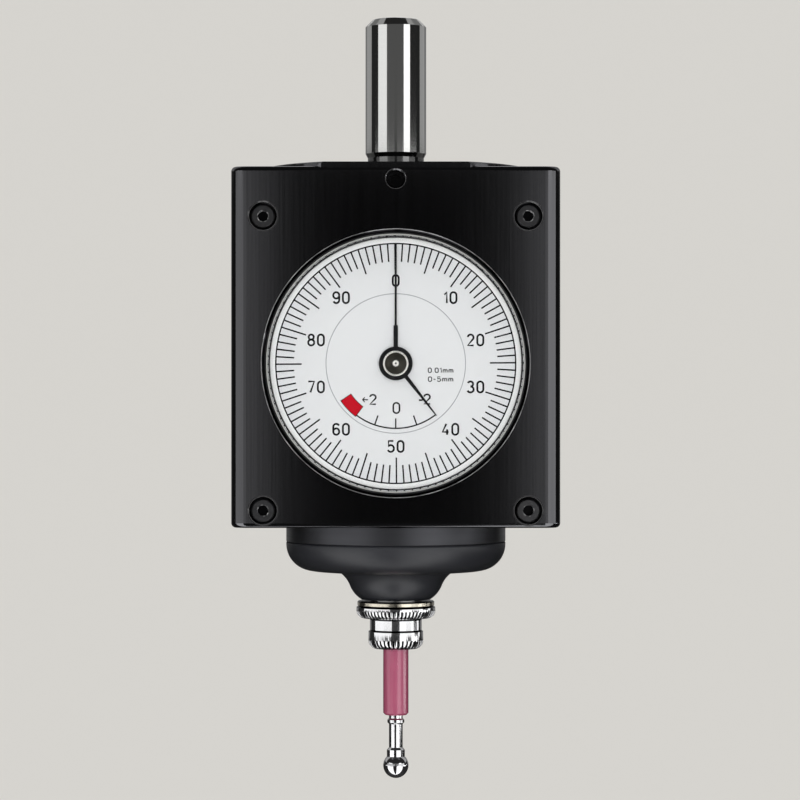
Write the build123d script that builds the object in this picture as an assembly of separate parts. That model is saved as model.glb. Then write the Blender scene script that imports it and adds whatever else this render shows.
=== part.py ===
from build123d import *
import math
import os

# Three-dimensional edge finder: a dial housing on a ground clamping shank, with a probe arm
# on a cardan ring below it. Millimetres. +Z runs up the shank, the dial faces -Y, and the
# origin is on the shank's axis at the lower end of the ground cylinder.

# Clearances between mating pieces
SEAT_GAP = 0.02
BORE_GAP = 0.05
COVER_GAP = 0.08
RUN_GAP = 0.02
CUT_OVERRUN = 1.0

# Clamping shank and its flange
SHANK_R = 6.0
SHANK_LENGTH = 26.5
SHANK_TIP_CHAMFER = 1.5
SHANK_TIP_ROUND = 0.3
RELIEF_R = 5.55
RELIEF_TAPER = 0.85
FLANGE_TOP_Z = -3.3
FLANGE_R = 15.0
FLANGE_T = 6.0
FLANGE_EDGE = 0.5
NECK_FILLET = 0.4
RUNOUT_PLAY = 0.4
FLANGE_SCREW_PCR = 10.6
FLANGE_SCREW_R = 1.45
FLANGE_SCREW_LENGTH = 7.5
FLANGE_SCREW_HEAD_R = 2.75
FLANGE_SCREW_HEAD_T = 3.0
FLANGE_SCREW_SINK = 3.2
FLANGE_SCREW_SINK_R = 3.0
FLANGE_SCREW_PLAY = 0.35
FLANGE_SCREW_SOCKET = 2.5
FLANGE_SCREW_SOCKET_DEPTH = 1.5

# Case
CASE_W = 63.0
CASE_D = 44.0
CASE_TOP_Z = -4.0
CASE_H = 69.0
CASE_SIDE_R = 3.0
CASE_RIM_R = 0.9
COVER_T = 4.5
LAND_R = 26.0
LAND_T = 0.85
LAND_EDGE = 0.25

# Run-out grub screws, front, rear, left and right of the flange
RUNOUT_Z = -6.4
GRUB_R = 1.6
GRUB_SOCKET = 2.0
GRUB_SOCKET_DEPTH = 1.4
GRUB_MOUTH = 0.3
GRUB_FRONT_LENGTH = 4.0
GRUB_REAR_LENGTH = 5.0
GRUB_SIDE_LENGTH = 12.0

SCREW_HEAD_EDGE = 0.25

# Dial, crystal and cover screws
DIAL_Z = -41.6
DIAL_R = 24.5
DIAL_T = 0.5
DIAL_HOLE_R = 1.5
WINDOW_R = 24.05
BEZEL_R = 25.0
BEZEL_CHAMFER = 0.6
LIP_T = 1.3
SEAL_T = 0.7
SEAL_COLLAR_LENGTH = 1.75
CRYSTAL_R = 24.7
CRYSTAL_T = 2.2
CRYSTAL_BEVEL = 0.4
COVER_SCREW_X = 25.3
COVER_SCREW_TOP_Z = -13.55
COVER_SCREW_BOTTOM_Z = -69.7
COVER_SCREW_R = 1.2
COVER_SCREW_LENGTH = 8.0
COVER_SCREW_HEAD_R = 2.25
COVER_SCREW_HEAD_T = 2.5
COVER_SCREW_SINK = 2.7
COVER_SCREW_SINK_R = 2.65
COVER_SCREW_MOUTH = 0.3
COVER_SCREW_PLAY = 0.15
COVER_SCREW_SOCKET = 2.0
COVER_SCREW_SOCKET_DEPTH = 1.2

# Movement
CHAMBER_R = 22.0
CHAMBER_WALL = 1.5
DIAL_BACK_GAP = 1.0
PLATE_R = 20.0
PLATE_T = 1.2
PILLAR_R = 1.8
PILLAR_PCR = 18.0
PILLAR_ANGLES = (55.0, 160.0, 235.0, 340.0)
MOVEMENT_SCREW_R = 0.8
MOVEMENT_SCREW_HEAD_R = 1.5
MOVEMENT_SCREW_HEAD_T = 0.75
MOVEMENT_SCREW_HOLD = 2.5
MOVEMENT_SCREW_SLOT_W = 0.4
MOVEMENT_SCREW_SLOT_DEPTH = 0.35
DRILL_END = 0.5
ARBOR_R = 0.5
RACK_ARBOR_R = 0.6
JOURNAL_GAP = 0.05

# Gear train: rack and 16-tooth pinion, 80 to 8 to the centre, 20 to 38 to the revolution counter
RACK_PITCH = 0.625
RACK_PINION_TEETH = 16
RACK_PINION_WIDTH = 3.4
RACK_LINE_X = 3.0
DRIVE_TEETH = 80
CENTRE_TEETH = 8
DRIVE_MODULE = 0.25
COUNTER_PINION_TEETH = 20
COUNTER_TEETH = 38
WHEEL_T = 0.6
WHEEL_HUB_R = 2.2
WHEEL_RIM = 1.2
WHEEL_SPOKE_COUNT = 4
SPOKE_W = 1.4
CENTRE_PINION_WIDTH = 1.0
COUNTER_PINION_WIDTH = 1.2
COUNTER_TUBE_R = 1.0
COUNTER_TUBE_SHOULDER = 0.4
BACKLASH = 0.16
ADDENDUM = 0.85
DEDENDUM = 1.2
TOOTH_SLOPE = 0.3
ROOT_FLARE = 0.12
PINION_POCKET_R = 2.4
PINION_BUSH_R = 1.5
PINION_BUSH_LENGTH = 2.4
PINION_BUSH_Y = 4.6
PINION_PLAY = 0.4
ARBOR_END_PLAY = 0.3
DRIVE_WHEEL_GAP = 0.6
COUNTER_WHEEL_GAP = 0.8
HAIRSPRING_GAP = 2.3
HAIRSPRING_W = 0.4
HAIRSPRING_T = 0.16
HAIRSPRING_PITCH = 0.8
HAIRSPRING_INNER_R = 1.6
HAIRSPRING_HALF_TURN_COUNT = 9
COLLET_R = 1.2
COLLET_W = 1.0
STUD_R = 0.45

# Pointers
MAIN_POINTER_TIP_R = 22.8
MAIN_POINTER_W = 0.4
MAIN_POINTER_STEM_W = 0.85
MAIN_POINTER_STEM_R = 7.3
MAIN_POINTER_HUB_R = 3.24
SMALL_POINTER_TIP_R = 12.7
SMALL_POINTER_W = 0.95
SMALL_POINTER_POINT_W = 0.2
SMALL_POINTER_HUB_R = 2.0
SMALL_POINTER_ANGLE = -52.0
POINTER_T = 0.25
POINTER_GAP = 0.35
HUB_CAP_R = 2.44
HUB_CAP_RIM = 0.35
HUB_CAP_T = 0.58
HUB_CAP_DISH = 0.2
ARBOR_END_R = 0.73
ARBOR_END_T = 0.12

# Plunger, guides and return spring
LIFT = 5.0
PLUNGER_R = 3.98
PLUNGER_TOP_R = 2.48
PLUNGER_TOP_Z = -15.5
PLUNGER_TOP_PLAY = 0.4
PLUNGER_STEP_Z = -28.9
PLUNGER_FOOT_Z = -69.5
PLUNGER_SPIGOT_R = 2.5
PLUNGER_SPIGOT_LENGTH = 1.1
RACK_BOTTOM_Z = -39.0
RACK_TOP_Z = -29.35
BODY_BORE_R = 5.5
BODY_BORE_TOP_Z = -12.5
UPPER_BUSH_LENGTH = 6.0
LOWER_BUSH_LENGTH = 10.0
SLOT_STOP_Z = -50.0
DOG_R = 0.98
DOG_REACH = 2.7
DOG_LENGTH = 3.8
SLOT_SIDE_GAP = 0.07
SLOT_END_GAP = 0.5
SLOT_FLOOR_GAP = 0.3
GUIDE_SCREW_LENGTH = 6.0
RETURN_SPRING_R = 3.2
RETURN_SPRING_WIRE_W = 0.8
RETURN_SPRING_WIRE_H = 0.6
RETURN_SPRING_TURN_COUNT = 6

# Cardan joint
PIVOT_Z = -76.6
CUP_R = 14.5
CUP_BORE_R = 12.9
CUP_TOP_T = 3.3
CUP_EDGE = 0.6
CUP_POCKET_R = 7.4
CUP_POCKET_DEPTH = 2.1
RING_R = 12.5
RING_BORE_R = 9.3
RING_H = 4.0
HEAD_R = 8.6
HEAD_CONE = 0.6
HEAD_EDGE = 0.5
PIVOT_PIN_R = 1.2
PIN_REACH = 2.4
PIN_SINK = 0.1
PIN_RUN_GAP = 0.03
CENTRING_SPRING_R = 5.6
CENTRING_SPRING_WIRE_W = 1.0
CENTRING_SPRING_WIRE_H = 0.6
CENTRING_SPRING_TURN_COUNT = 3
RECESS_R = 16.4
RECESS_TOP_GAP = 0.3

# Boot and its ring
BOOT_R = 21.65
BOOT_RING_T = 3.5
BOOT_RING_BORE_R = 15.0
BOOT_SPIGOT_LENGTH = 3.0
BOOT_RIM_T = 3.15
BOOT_BARB_H = 0.5
BOOT_BARB_RISE = 0.5
BOOT_BARB_LAND = 0.5
BOOT_BARB_SLOPE = 0.25
BOOT_EDGE = 0.15
BOOT_LOWER_LENGTH = 3.0
BOOT_CORNER_R = 5.2
BOOT_FLAT_Z = -82.2
BOOT_CREASE_R = 11.2
BOOT_CREASE_DROP = 0.4
BOOT_HOLLOW_R = 5.5
BOOT_BULGE_R = 5.0
BOOT_WAIST_R = 9.1
BOOT_WAIST_Z = -85.2
BOOT_FOOT_R = 6.9
BOOT_FOOT_Z = -87.9
BOOT_WALL = 1.4

# Probe arm, clamp washer and knurled ring
ARM_R = 5.2
ARM_NECK_R = 4.0
ARM_SHOULDER_Z = -88.2
WASHER_R = 7.6
WASHER_T = 1.1
WASHER_EDGE = 0.22
KNURL_RING_R = 7.77
KNURL_RING_BAND = 0.75
KNURL_RING_EDGE = 0.15
KNURL_RING_SHOULDER_R = 7.4
KNURL_RING_SHOULDER_H = 0.7
KNURL_RING_FOOT_R = 6.4
KNURL_RING_H = 2.4
KNURL_RING_GROOVE_COUNT = 60
KNURL_RING_DEPTH = 0.3
ARM_BORE_R = 2.45

# Stylus
BASE_NECK_R = 5.13
BASE_NECK_H = 2.4
COLLAR_TOP_R = 5.3
COLLAR_R = 5.44
COLLAR_BAND = 1.9
COLLAR_EDGE = 0.1
COLLAR_SHOULDER_R = 5.15
COLLAR_SHOULDER_H = 0.7
COLLAR_FOOT_R = 4.23
COLLAR_H = 3.55
COLLAR_GROOVE_COUNT = 36
COLLAR_KNURL_DEPTH = 0.35
BASE_STUD_LENGTH = 5.0
CERAMIC_R = 2.5
CERAMIC_FOOT_Z = -110.8
CERAMIC_CHAMFER = 0.4
CERAMIC_INSET = 3.0
TIP_STEM_R = 1.35
TIP_BEAD_R = 1.67
TIP_BEAD_T = 1.15
TIP_BEAD_EDGE = 0.3
TIP_BEAD_Z = -111.45
TIP_CONE_TOP_Z = -117.2
TIP_COLLAR_R = 1.77
TIP_COLLAR_TOP_Z = -117.7
TIP_COLLAR_BOTTOM_Z = -119.3
TIP_SPIGOT_R = 1.0
TIP_SPIGOT_LENGTH = 3.8
SPIGOT_END_GAP = 0.2
BALL_R = 2.5
BALL_Z = -120.8

# Values worked out from the sizes above
FRONT_Y = -CASE_D / 2
BACK_Y = CASE_D / 2
JOINT_Y = FRONT_Y + COVER_T
CASE_BOTTOM_Z = CASE_TOP_Z - CASE_H
LAND_TOP_Z = CASE_TOP_Z + LAND_T
FLANGE_FLOOR_Z = FLANGE_TOP_Z - FLANGE_T
POCKET_R = FLANGE_R + RUNOUT_PLAY
LIP_Y = JOINT_Y - LIP_T
SEAL_Y = LIP_Y - SEAL_T
CRYSTAL_BACK_Y = SEAL_Y - SEAT_GAP
CRYSTAL_FRONT_Y = CRYSTAL_BACK_Y - CRYSTAL_T
DIAL_FACE_Y = JOINT_Y + COVER_GAP
DIAL_BACK_Y = DIAL_FACE_Y + DIAL_T
DIAL_SEAT_Y = DIAL_BACK_Y + SEAT_GAP
CHAMBER_FLOOR_Y = -(BODY_BORE_R + CHAMBER_WALL)
BACK_PLATE_Y = CHAMBER_FLOOR_Y
BACK_PLATE_FRONT_Y = BACK_PLATE_Y - PLATE_T
FRONT_PLATE_FRONT_Y = DIAL_SEAT_Y + DIAL_BACK_GAP
FRONT_PLATE_Y = FRONT_PLATE_FRONT_Y + PLATE_T
DRIVE_WHEEL_Y = BACK_PLATE_FRONT_Y - DRIVE_WHEEL_GAP
COUNTER_WHEEL_Y = FRONT_PLATE_Y + COUNTER_WHEEL_GAP + WHEEL_T
HAIRSPRING_Y = FRONT_PLATE_Y + HAIRSPRING_GAP + HAIRSPRING_W
RACK_MODULE = RACK_PITCH / math.pi
RACK_PINION_R = RACK_MODULE * RACK_PINION_TEETH / 2
CENTRE_DISTANCE = DRIVE_MODULE * (DRIVE_TEETH + CENTRE_TEETH) / 2
COUNTER_MODULE = 2 * CENTRE_DISTANCE / (COUNTER_PINION_TEETH + COUNTER_TEETH)
DRIVE_X = -(RACK_LINE_X + RACK_PINION_R)
DRIVE_RISE = math.sqrt(CENTRE_DISTANCE**2 - DRIVE_X**2)
DRIVE_Z = DIAL_Z + DRIVE_RISE
TAKE_UP_X = -DRIVE_X
TAKE_UP_Z = DIAL_Z - DRIVE_RISE
MESH_ANGLE = math.degrees(math.atan2(-DRIVE_RISE, -DRIVE_X))
SMALL_POINTER_Y = DIAL_FACE_Y - POINTER_GAP
MAIN_POINTER_Y = SMALL_POINTER_Y - POINTER_T - POINTER_GAP
HUB_CAP_Y = MAIN_POINTER_Y - POINTER_T - SEAT_GAP
RECESS_TOP_Z = PLUNGER_FOOT_Z + LIFT + RECESS_TOP_GAP
BOOT_SPLIT_Z = CASE_BOTTOM_Z - BOOT_RING_T
BOOT_BARB_ROOT_R = BOOT_R - BOOT_RIM_T
BOOT_BARB_R = BOOT_BARB_ROOT_R + BOOT_BARB_H
CUP_FLOOR_Z = PLUNGER_FOOT_Z - CUP_TOP_T
CUP_FOOT_Z = PIVOT_Z - RING_H / 2
HEAD_TOP_Z = PIVOT_Z + RING_H / 2
KNURL_RING_TOP_Z = ARM_SHOULDER_Z - WASHER_T
BASE_TOP_Z = KNURL_RING_TOP_Z - KNURL_RING_H - SEAT_GAP
COLLAR_TOP_Z = BASE_TOP_Z - BASE_NECK_H
COLLAR_FOOT_Z = COLLAR_TOP_Z - COLLAR_H


def slab(outline, y_back, y_front):
    """A flat piece standing in X-Z between two depths, the front one more negative."""
    return extrude(Plane.XZ.offset(-y_back) * outline, amount=y_back - y_front)


def disc(x, z, radius, y_back, y_front):
    """A cylinder along Y."""
    return slab(Pos(x, z) * Circle(radius), y_back, y_front)


def rod(radius, z_low, z_high, x=0.0, y=0.0):
    """A cylinder along Z."""
    return Pos(x, y, (z_low + z_high) / 2) * Cylinder(radius, z_high - z_low)


def turned(points):
    """A solid of revolution about Z from (radius, height) points."""
    return revolve(make_face(Plane.XZ * Polyline(*points, close=True)), Axis.Z)


def countersink(radius, depth, x, z, y_face):
    """A 45 degree cone along Y that opens a hole's mouth at a front face."""
    tool = Cone(radius, radius + depth, depth)
    return Pos(x, y_face + depth / 2, z) * Rot(90, 0, 0) * tool


def cap_screw(radius, length, head_r, head_t, socket, socket_depth):
    """A socket head screw standing on +Z, with the seat of its head at height 0."""
    head = chamfer(Cylinder(head_r, head_t).edges().group_by(Axis.Z)[-1], SCREW_HEAD_EDGE)
    body = Pos(0, 0, head_t / 2) * head + rod(radius, -length, 0)
    hexagon = RegularPolygon(socket / 2, 6, major_radius=False)
    return body - extrude(Pos(0, 0, head_t) * hexagon, amount=-socket_depth)


def grub_screw(radius, length, socket, socket_depth):
    """A headless screw from height 0 up to its length, with the socket at the top."""
    body = rod(radius, 0, length)
    hexagon = RegularPolygon(socket / 2, 6, major_radius=False)
    return body - extrude(Pos(0, 0, length) * hexagon, amount=-socket_depth)


def tooth_widths(module):
    """Half widths of a tooth at its tip, pitch line and root."""
    half = module * math.pi / 4 - BACKLASH * module
    return half - TOOTH_SLOPE * ADDENDUM * module, half, half + ROOT_FLARE * module


def gear_outline(teeth, module, phase):
    """A gear's outline with straight-flanked teeth; phase is a tooth's direction in degrees."""
    pitch_r = module * teeth / 2
    tip, _, root = tooth_widths(module)
    tip_r = pitch_r + ADDENDUM * module
    root_r = pitch_r - DEDENDUM * module
    points = []
    for tooth in range(teeth):
        middle = math.radians(phase) + 2 * math.pi * tooth / teeth
        for radius, offset in ((root_r, -root), (tip_r, -tip), (tip_r, tip), (root_r, root)):
            angle = middle + offset / pitch_r
            points.append((radius * math.cos(angle), radius * math.sin(angle)))
    return make_face(Polyline(*points, close=True))


def gear(teeth, module, phase, x, z, y_back, width):
    """A solid gear on the axis through (x, z)."""
    return slab(Pos(x, z) * gear_outline(teeth, module, phase), y_back, y_back - width)


def spoked_wheel(teeth, module, phase, x, z, y_back):
    """A thin wheel with a rim, spokes and a bored hub."""
    rim_r = module * teeth / 2 - DEDENDUM * module - WHEEL_RIM
    window = Circle(rim_r) - Circle(WHEEL_HUB_R)
    for spoke in range(WHEEL_SPOKE_COUNT // 2):
        angle = 45 + 180 * spoke * 2 / WHEEL_SPOKE_COUNT
        window -= Rot(0, 0, angle) * Rectangle(2 * rim_r + CUT_OVERRUN, SPOKE_W)
    outline = gear_outline(teeth, module, phase) - window
    return slab(Pos(x, z) * outline, y_back, y_back - WHEEL_T)


def case_block():
    """The case and cover together, with rounded edges and the turned land on top."""
    block = Pos(0, 0, CASE_TOP_Z - CASE_H / 2) * Box(CASE_W, CASE_D, CASE_H)
    block = fillet(block.edges().filter_by(Axis.Z), CASE_SIDE_R)
    rims = block.edges().group_by(Axis.Z)
    block = fillet(rims[0] + rims[-1], CASE_RIM_R)
    land = rod(LAND_R, CASE_TOP_Z - CUT_OVERRUN, LAND_TOP_Z)
    land = chamfer(land.edges().group_by(Axis.Z)[-1], LAND_EDGE)
    trim = Pos(0, 0, CASE_TOP_Z) * Box(CASE_W, CASE_D - 2 * LAND_EDGE, 4 * LAND_T)
    return block + (land & trim)


def cover_screw_places():
    return [
        (side * COVER_SCREW_X, z)
        for z in (COVER_SCREW_TOP_Z, COVER_SCREW_BOTTOM_Z)
        for side in (-1, 1)
    ]


def flange_screw_places():
    corner = FLANGE_SCREW_PCR * math.sqrt(0.5)
    return [(sx * corner, sy * corner) for sx in (-1, 1) for sy in (-1, 1)]


def pillar_places():
    return [
        (
            PILLAR_PCR * math.cos(math.radians(angle)),
            DIAL_Z + PILLAR_PCR * math.sin(math.radians(angle)),
        )
        for angle in PILLAR_ANGLES
    ]


def runout_directions():
    """Turn about Z from +X, and the screw's length, for each run-out screw."""
    return [
        (-90, GRUB_FRONT_LENGTH),
        (0, GRUB_SIDE_LENGTH),
        (90, GRUB_REAR_LENGTH),
        (180, GRUB_SIDE_LENGTH),
    ]


def runout_holes():
    """The four radial tapped holes with their mouths, as one cutter."""
    tools = []
    bore_r = GRUB_R + BORE_GAP
    for turn, _ in runout_directions():
        face = CASE_D / 2 if turn % 180 else CASE_W / 2
        start = POCKET_R - CUT_OVERRUN
        hole = Pos((start + face) / 2, 0, RUNOUT_Z) * Rot(0, 90, 0) * Cylinder(bore_r, face - start)
        mouth = Cone(bore_r, bore_r + GRUB_MOUTH, GRUB_MOUTH)
        mouth = Pos(face - GRUB_MOUTH / 2, 0, RUNOUT_Z) * Rot(0, 90, 0) * mouth
        tools.append(Rot(0, 0, turn) * (hole + mouth))
    return tools


def guide_screw_hole():
    bore_r = GRUB_R + BORE_GAP
    step_y = DOG_REACH + DOG_LENGTH
    hole = disc(0, SLOT_STOP_Z, bore_r, BACK_Y, step_y)
    dog = disc(0, SLOT_STOP_Z, DOG_R + BORE_GAP, step_y, 0)
    mouth = Pos(0, BACK_Y - GRUB_MOUTH / 2, SLOT_STOP_Z) * Rot(-90, 0, 0)
    return hole + dog + mouth * Cone(bore_r, bore_r + GRUB_MOUTH, GRUB_MOUTH)


def case_body():
    behind = Pos(0, (JOINT_Y + BACK_Y) / 2, 0) * Box(2 * CASE_W, BACK_Y - JOINT_Y, 4 * CASE_H)
    body = case_block() & behind
    body -= rod(POCKET_R, FLANGE_FLOOR_Z, 0)
    body -= runout_holes()
    for x, y in flange_screw_places():
        depth = FLANGE_TOP_Z - FLANGE_SCREW_SINK - FLANGE_SCREW_LENGTH - DRILL_END
        body -= rod(FLANGE_SCREW_R + BORE_GAP, depth, FLANGE_FLOOR_Z + CUT_OVERRUN, x, y)
    body -= disc(0, DIAL_Z, DIAL_R + COVER_GAP, DIAL_SEAT_Y, JOINT_Y - CUT_OVERRUN)
    body -= disc(0, DIAL_Z, CHAMBER_R, CHAMBER_FLOOR_Y, JOINT_Y)
    body -= rod(BODY_BORE_R, RECESS_TOP_Z - CUT_OVERRUN, BODY_BORE_TOP_Z)
    relief_top = PLUNGER_TOP_Z + LIFT + PLUNGER_TOP_PLAY
    body -= rod(PLUNGER_TOP_R + PLUNGER_TOP_PLAY, BODY_BORE_TOP_Z - CUT_OVERRUN, relief_top)
    body -= rod(RECESS_R, CASE_BOTTOM_Z - CUT_OVERRUN, RECESS_TOP_Z)
    pocket_end = RACK_PINION_WIDTH / 2 + PINION_PLAY
    body -= disc(DRIVE_X, DRIVE_Z, PINION_POCKET_R, pocket_end, CHAMBER_FLOOR_Y)
    body -= disc(DRIVE_X, DRIVE_Z, RACK_ARBOR_R + PINION_PLAY, PINION_BUSH_Y, 0)
    bush_end = PINION_BUSH_Y + PINION_BUSH_LENGTH
    body -= disc(DRIVE_X, DRIVE_Z, PINION_BUSH_R + SEAT_GAP, bush_end, PINION_BUSH_Y)
    body -= guide_screw_hole()
    for x, z in pillar_places():
        bottom = CHAMBER_FLOOR_Y + MOVEMENT_SCREW_HOLD + DRILL_END
        body -= disc(x, z, MOVEMENT_SCREW_R + BORE_GAP, bottom, CHAMBER_FLOOR_Y)
    screw_end = FRONT_Y + COVER_SCREW_SINK + COVER_SCREW_LENGTH + DRILL_END
    for x, z in cover_screw_places():
        body -= disc(x, z, COVER_SCREW_R + BORE_GAP, screw_end, JOINT_Y - CUT_OVERRUN)
    return body


def front_cover():
    ahead = Pos(0, (FRONT_Y + JOINT_Y) / 2, 0) * Box(2 * CASE_W, JOINT_Y - FRONT_Y, 4 * CASE_H)
    cover = case_block() & ahead
    cover -= disc(0, DIAL_Z, WINDOW_R, JOINT_Y, LIP_Y)
    cover -= disc(0, DIAL_Z, BEZEL_R, LIP_Y, FRONT_Y)
    cover -= countersink(BEZEL_R, BEZEL_CHAMFER, 0, DIAL_Z, FRONT_Y)
    cover -= runout_holes()
    seat_y = FRONT_Y + COVER_SCREW_SINK
    for x, z in cover_screw_places():
        cover -= disc(x, z, COVER_SCREW_R + COVER_SCREW_PLAY, JOINT_Y, seat_y)
        cover -= disc(x, z, COVER_SCREW_SINK_R, seat_y, FRONT_Y)
        cover -= countersink(COVER_SCREW_SINK_R, COVER_SCREW_MOUTH, x, z, FRONT_Y)
    return cover


def clamping_shank():
    shank = turned(
        [
            (0, FLANGE_FLOOR_Z),
            (FLANGE_R - FLANGE_EDGE, FLANGE_FLOOR_Z),
            (FLANGE_R, FLANGE_FLOOR_Z + FLANGE_EDGE),
            (FLANGE_R, FLANGE_TOP_Z - FLANGE_EDGE),
            (FLANGE_R - FLANGE_EDGE, FLANGE_TOP_Z),
            (RELIEF_R + NECK_FILLET, FLANGE_TOP_Z),
            (RELIEF_R, FLANGE_TOP_Z + NECK_FILLET),
            (RELIEF_R, -RELIEF_TAPER),
            (SHANK_R, 0),
            (SHANK_R, SHANK_LENGTH - SHANK_TIP_CHAMFER),
            (SHANK_R - SHANK_TIP_CHAMFER, SHANK_LENGTH),
            (0, SHANK_LENGTH),
        ]
    )
    shank = fillet(shank.edges().group_by(Axis.Z)[-1], SHANK_TIP_ROUND)
    sink_z = FLANGE_TOP_Z - FLANGE_SCREW_SINK
    for x, y in flange_screw_places():
        shank -= rod(FLANGE_SCREW_R + FLANGE_SCREW_PLAY, FLANGE_FLOOR_Z, sink_z, x, y)
        shank -= rod(FLANGE_SCREW_SINK_R, sink_z, FLANGE_TOP_Z, x, y)
    return shank


def flange_screws():
    screw = cap_screw(
        FLANGE_SCREW_R, FLANGE_SCREW_LENGTH, FLANGE_SCREW_HEAD_R, FLANGE_SCREW_HEAD_T,
        FLANGE_SCREW_SOCKET, FLANGE_SCREW_SOCKET_DEPTH,
    )
    seat_z = FLANGE_TOP_Z - FLANGE_SCREW_SINK
    return [Pos(x, y, seat_z) * screw for x, y in flange_screw_places()]


def runout_screws():
    """Four headless screws whose tips bear on the flange."""
    tip_r = FLANGE_R + SEAT_GAP
    return [
        Rot(0, 0, turn)
        * Pos(tip_r, 0, RUNOUT_Z)
        * Rot(0, 90, 0)
        * grub_screw(GRUB_R, length, GRUB_SOCKET, GRUB_SOCKET_DEPTH)
        for turn, length in runout_directions()
    ]


def cover_screws():
    screw = cap_screw(
        COVER_SCREW_R, COVER_SCREW_LENGTH, COVER_SCREW_HEAD_R, COVER_SCREW_HEAD_T,
        COVER_SCREW_SOCKET, COVER_SCREW_SOCKET_DEPTH,
    )
    seat_y = FRONT_Y + COVER_SCREW_SINK
    return [Pos(x, seat_y, z) * Rot(90, 0, 0) * screw for x, z in cover_screw_places()]


def crystal():
    glass = disc(0, DIAL_Z, CRYSTAL_R, CRYSTAL_BACK_Y, CRYSTAL_FRONT_Y)
    return chamfer(glass.edges().group_by(Axis.Y)[0], CRYSTAL_BEVEL)


def crystal_seal():
    """An angled rubber ring under and around the crystal."""
    outer_r = BEZEL_R - SEAT_GAP
    under = disc(0, DIAL_Z, outer_r, LIP_Y - SEAT_GAP, SEAL_Y)
    under -= disc(0, DIAL_Z, WINDOW_R + BORE_GAP, LIP_Y, SEAL_Y)
    collar = disc(0, DIAL_Z, outer_r, SEAL_Y, SEAL_Y - SEAL_COLLAR_LENGTH)
    collar -= disc(0, DIAL_Z, CRYSTAL_R + SEAT_GAP, SEAL_Y, SEAL_Y - SEAL_COLLAR_LENGTH)
    return under + collar


def dial_plate():
    plate = disc(0, DIAL_Z, DIAL_R, DIAL_BACK_Y, DIAL_FACE_Y)
    return plate - disc(0, DIAL_Z, DIAL_HOLE_R, DIAL_BACK_Y, DIAL_FACE_Y)


def movement_plate(y_back, holes):
    plate = disc(0, DIAL_Z, PLATE_R, y_back, y_back - PLATE_T)
    for x, z, radius in holes:
        plate -= disc(x, z, radius, y_back, y_back - PLATE_T)
    for x, z in pillar_places():
        plate -= disc(x, z, MOVEMENT_SCREW_R + BORE_GAP, y_back, y_back - PLATE_T)
    return plate


def movement_front_plate():
    holes = [
        (DRIVE_X, DRIVE_Z, RACK_ARBOR_R + JOURNAL_GAP),
        (TAKE_UP_X, TAKE_UP_Z, ARBOR_R + JOURNAL_GAP),
        (0, DIAL_Z, COUNTER_TUBE_R + JOURNAL_GAP),
    ]
    return movement_plate(FRONT_PLATE_Y, holes)


def movement_back_plate():
    holes = [
        (DRIVE_X, DRIVE_Z, RACK_ARBOR_R + PINION_PLAY),
        (TAKE_UP_X, TAKE_UP_Z, ARBOR_R + JOURNAL_GAP),
        (0, DIAL_Z, ARBOR_R + JOURNAL_GAP),
    ]
    return movement_plate(BACK_PLATE_Y, holes)


def movement_pillars():
    outline = Circle(PILLAR_R) - Circle(MOVEMENT_SCREW_R + BORE_GAP)
    return [
        slab(Pos(x, z) * outline, BACK_PLATE_FRONT_Y, FRONT_PLATE_Y) for x, z in pillar_places()
    ]


def movement_screws():
    """Long screws through both plates and the pillars into the case."""
    screws = []
    for x, z in pillar_places():
        head_front = FRONT_PLATE_FRONT_Y - MOVEMENT_SCREW_HEAD_T
        screw = disc(x, z, MOVEMENT_SCREW_HEAD_R, FRONT_PLATE_FRONT_Y, head_front)
        end = CHAMBER_FLOOR_Y + MOVEMENT_SCREW_HOLD
        screw += disc(x, z, MOVEMENT_SCREW_R, end, FRONT_PLATE_FRONT_Y)
        slot = Pos(x, z) * Rectangle(3 * MOVEMENT_SCREW_HEAD_R, MOVEMENT_SCREW_SLOT_W)
        screws.append(screw - slab(slot, head_front + MOVEMENT_SCREW_SLOT_DEPTH, head_front))
    return screws


def pinion_bush():
    end = PINION_BUSH_Y + PINION_BUSH_LENGTH
    bush = disc(DRIVE_X, DRIVE_Z, PINION_BUSH_R, end - SEAT_GAP, PINION_BUSH_Y)
    return bush - disc(DRIVE_X, DRIVE_Z, RACK_ARBOR_R + JOURNAL_GAP, end, PINION_BUSH_Y)


def pinion_arbor():
    """The arbor with the rack's pinion at the rear and the counter's pinion in front."""
    front = FRONT_PLATE_FRONT_Y + ARBOR_END_PLAY
    rear = PINION_BUSH_Y + PINION_BUSH_LENGTH - ARBOR_END_PLAY
    arbor = disc(DRIVE_X, DRIVE_Z, RACK_ARBOR_R, rear, front)
    half = RACK_PINION_WIDTH / 2
    arbor += gear(RACK_PINION_TEETH, RACK_MODULE, 0, DRIVE_X, DRIVE_Z, half, RACK_PINION_WIDTH)
    counter_back = COUNTER_WHEEL_Y + (COUNTER_PINION_WIDTH - WHEEL_T) / 2
    arbor += gear(
        COUNTER_PINION_TEETH, COUNTER_MODULE, MESH_ANGLE, DRIVE_X, DRIVE_Z,
        counter_back, COUNTER_PINION_WIDTH,
    )
    return arbor


def drive_wheel():
    wheel = spoked_wheel(
        DRIVE_TEETH, DRIVE_MODULE, MESH_ANGLE, DRIVE_X, DRIVE_Z, DRIVE_WHEEL_Y
    )
    bore_r = RACK_ARBOR_R + SEAT_GAP
    return wheel - disc(DRIVE_X, DRIVE_Z, bore_r, DRIVE_WHEEL_Y, DRIVE_WHEEL_Y - WHEEL_T)


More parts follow.
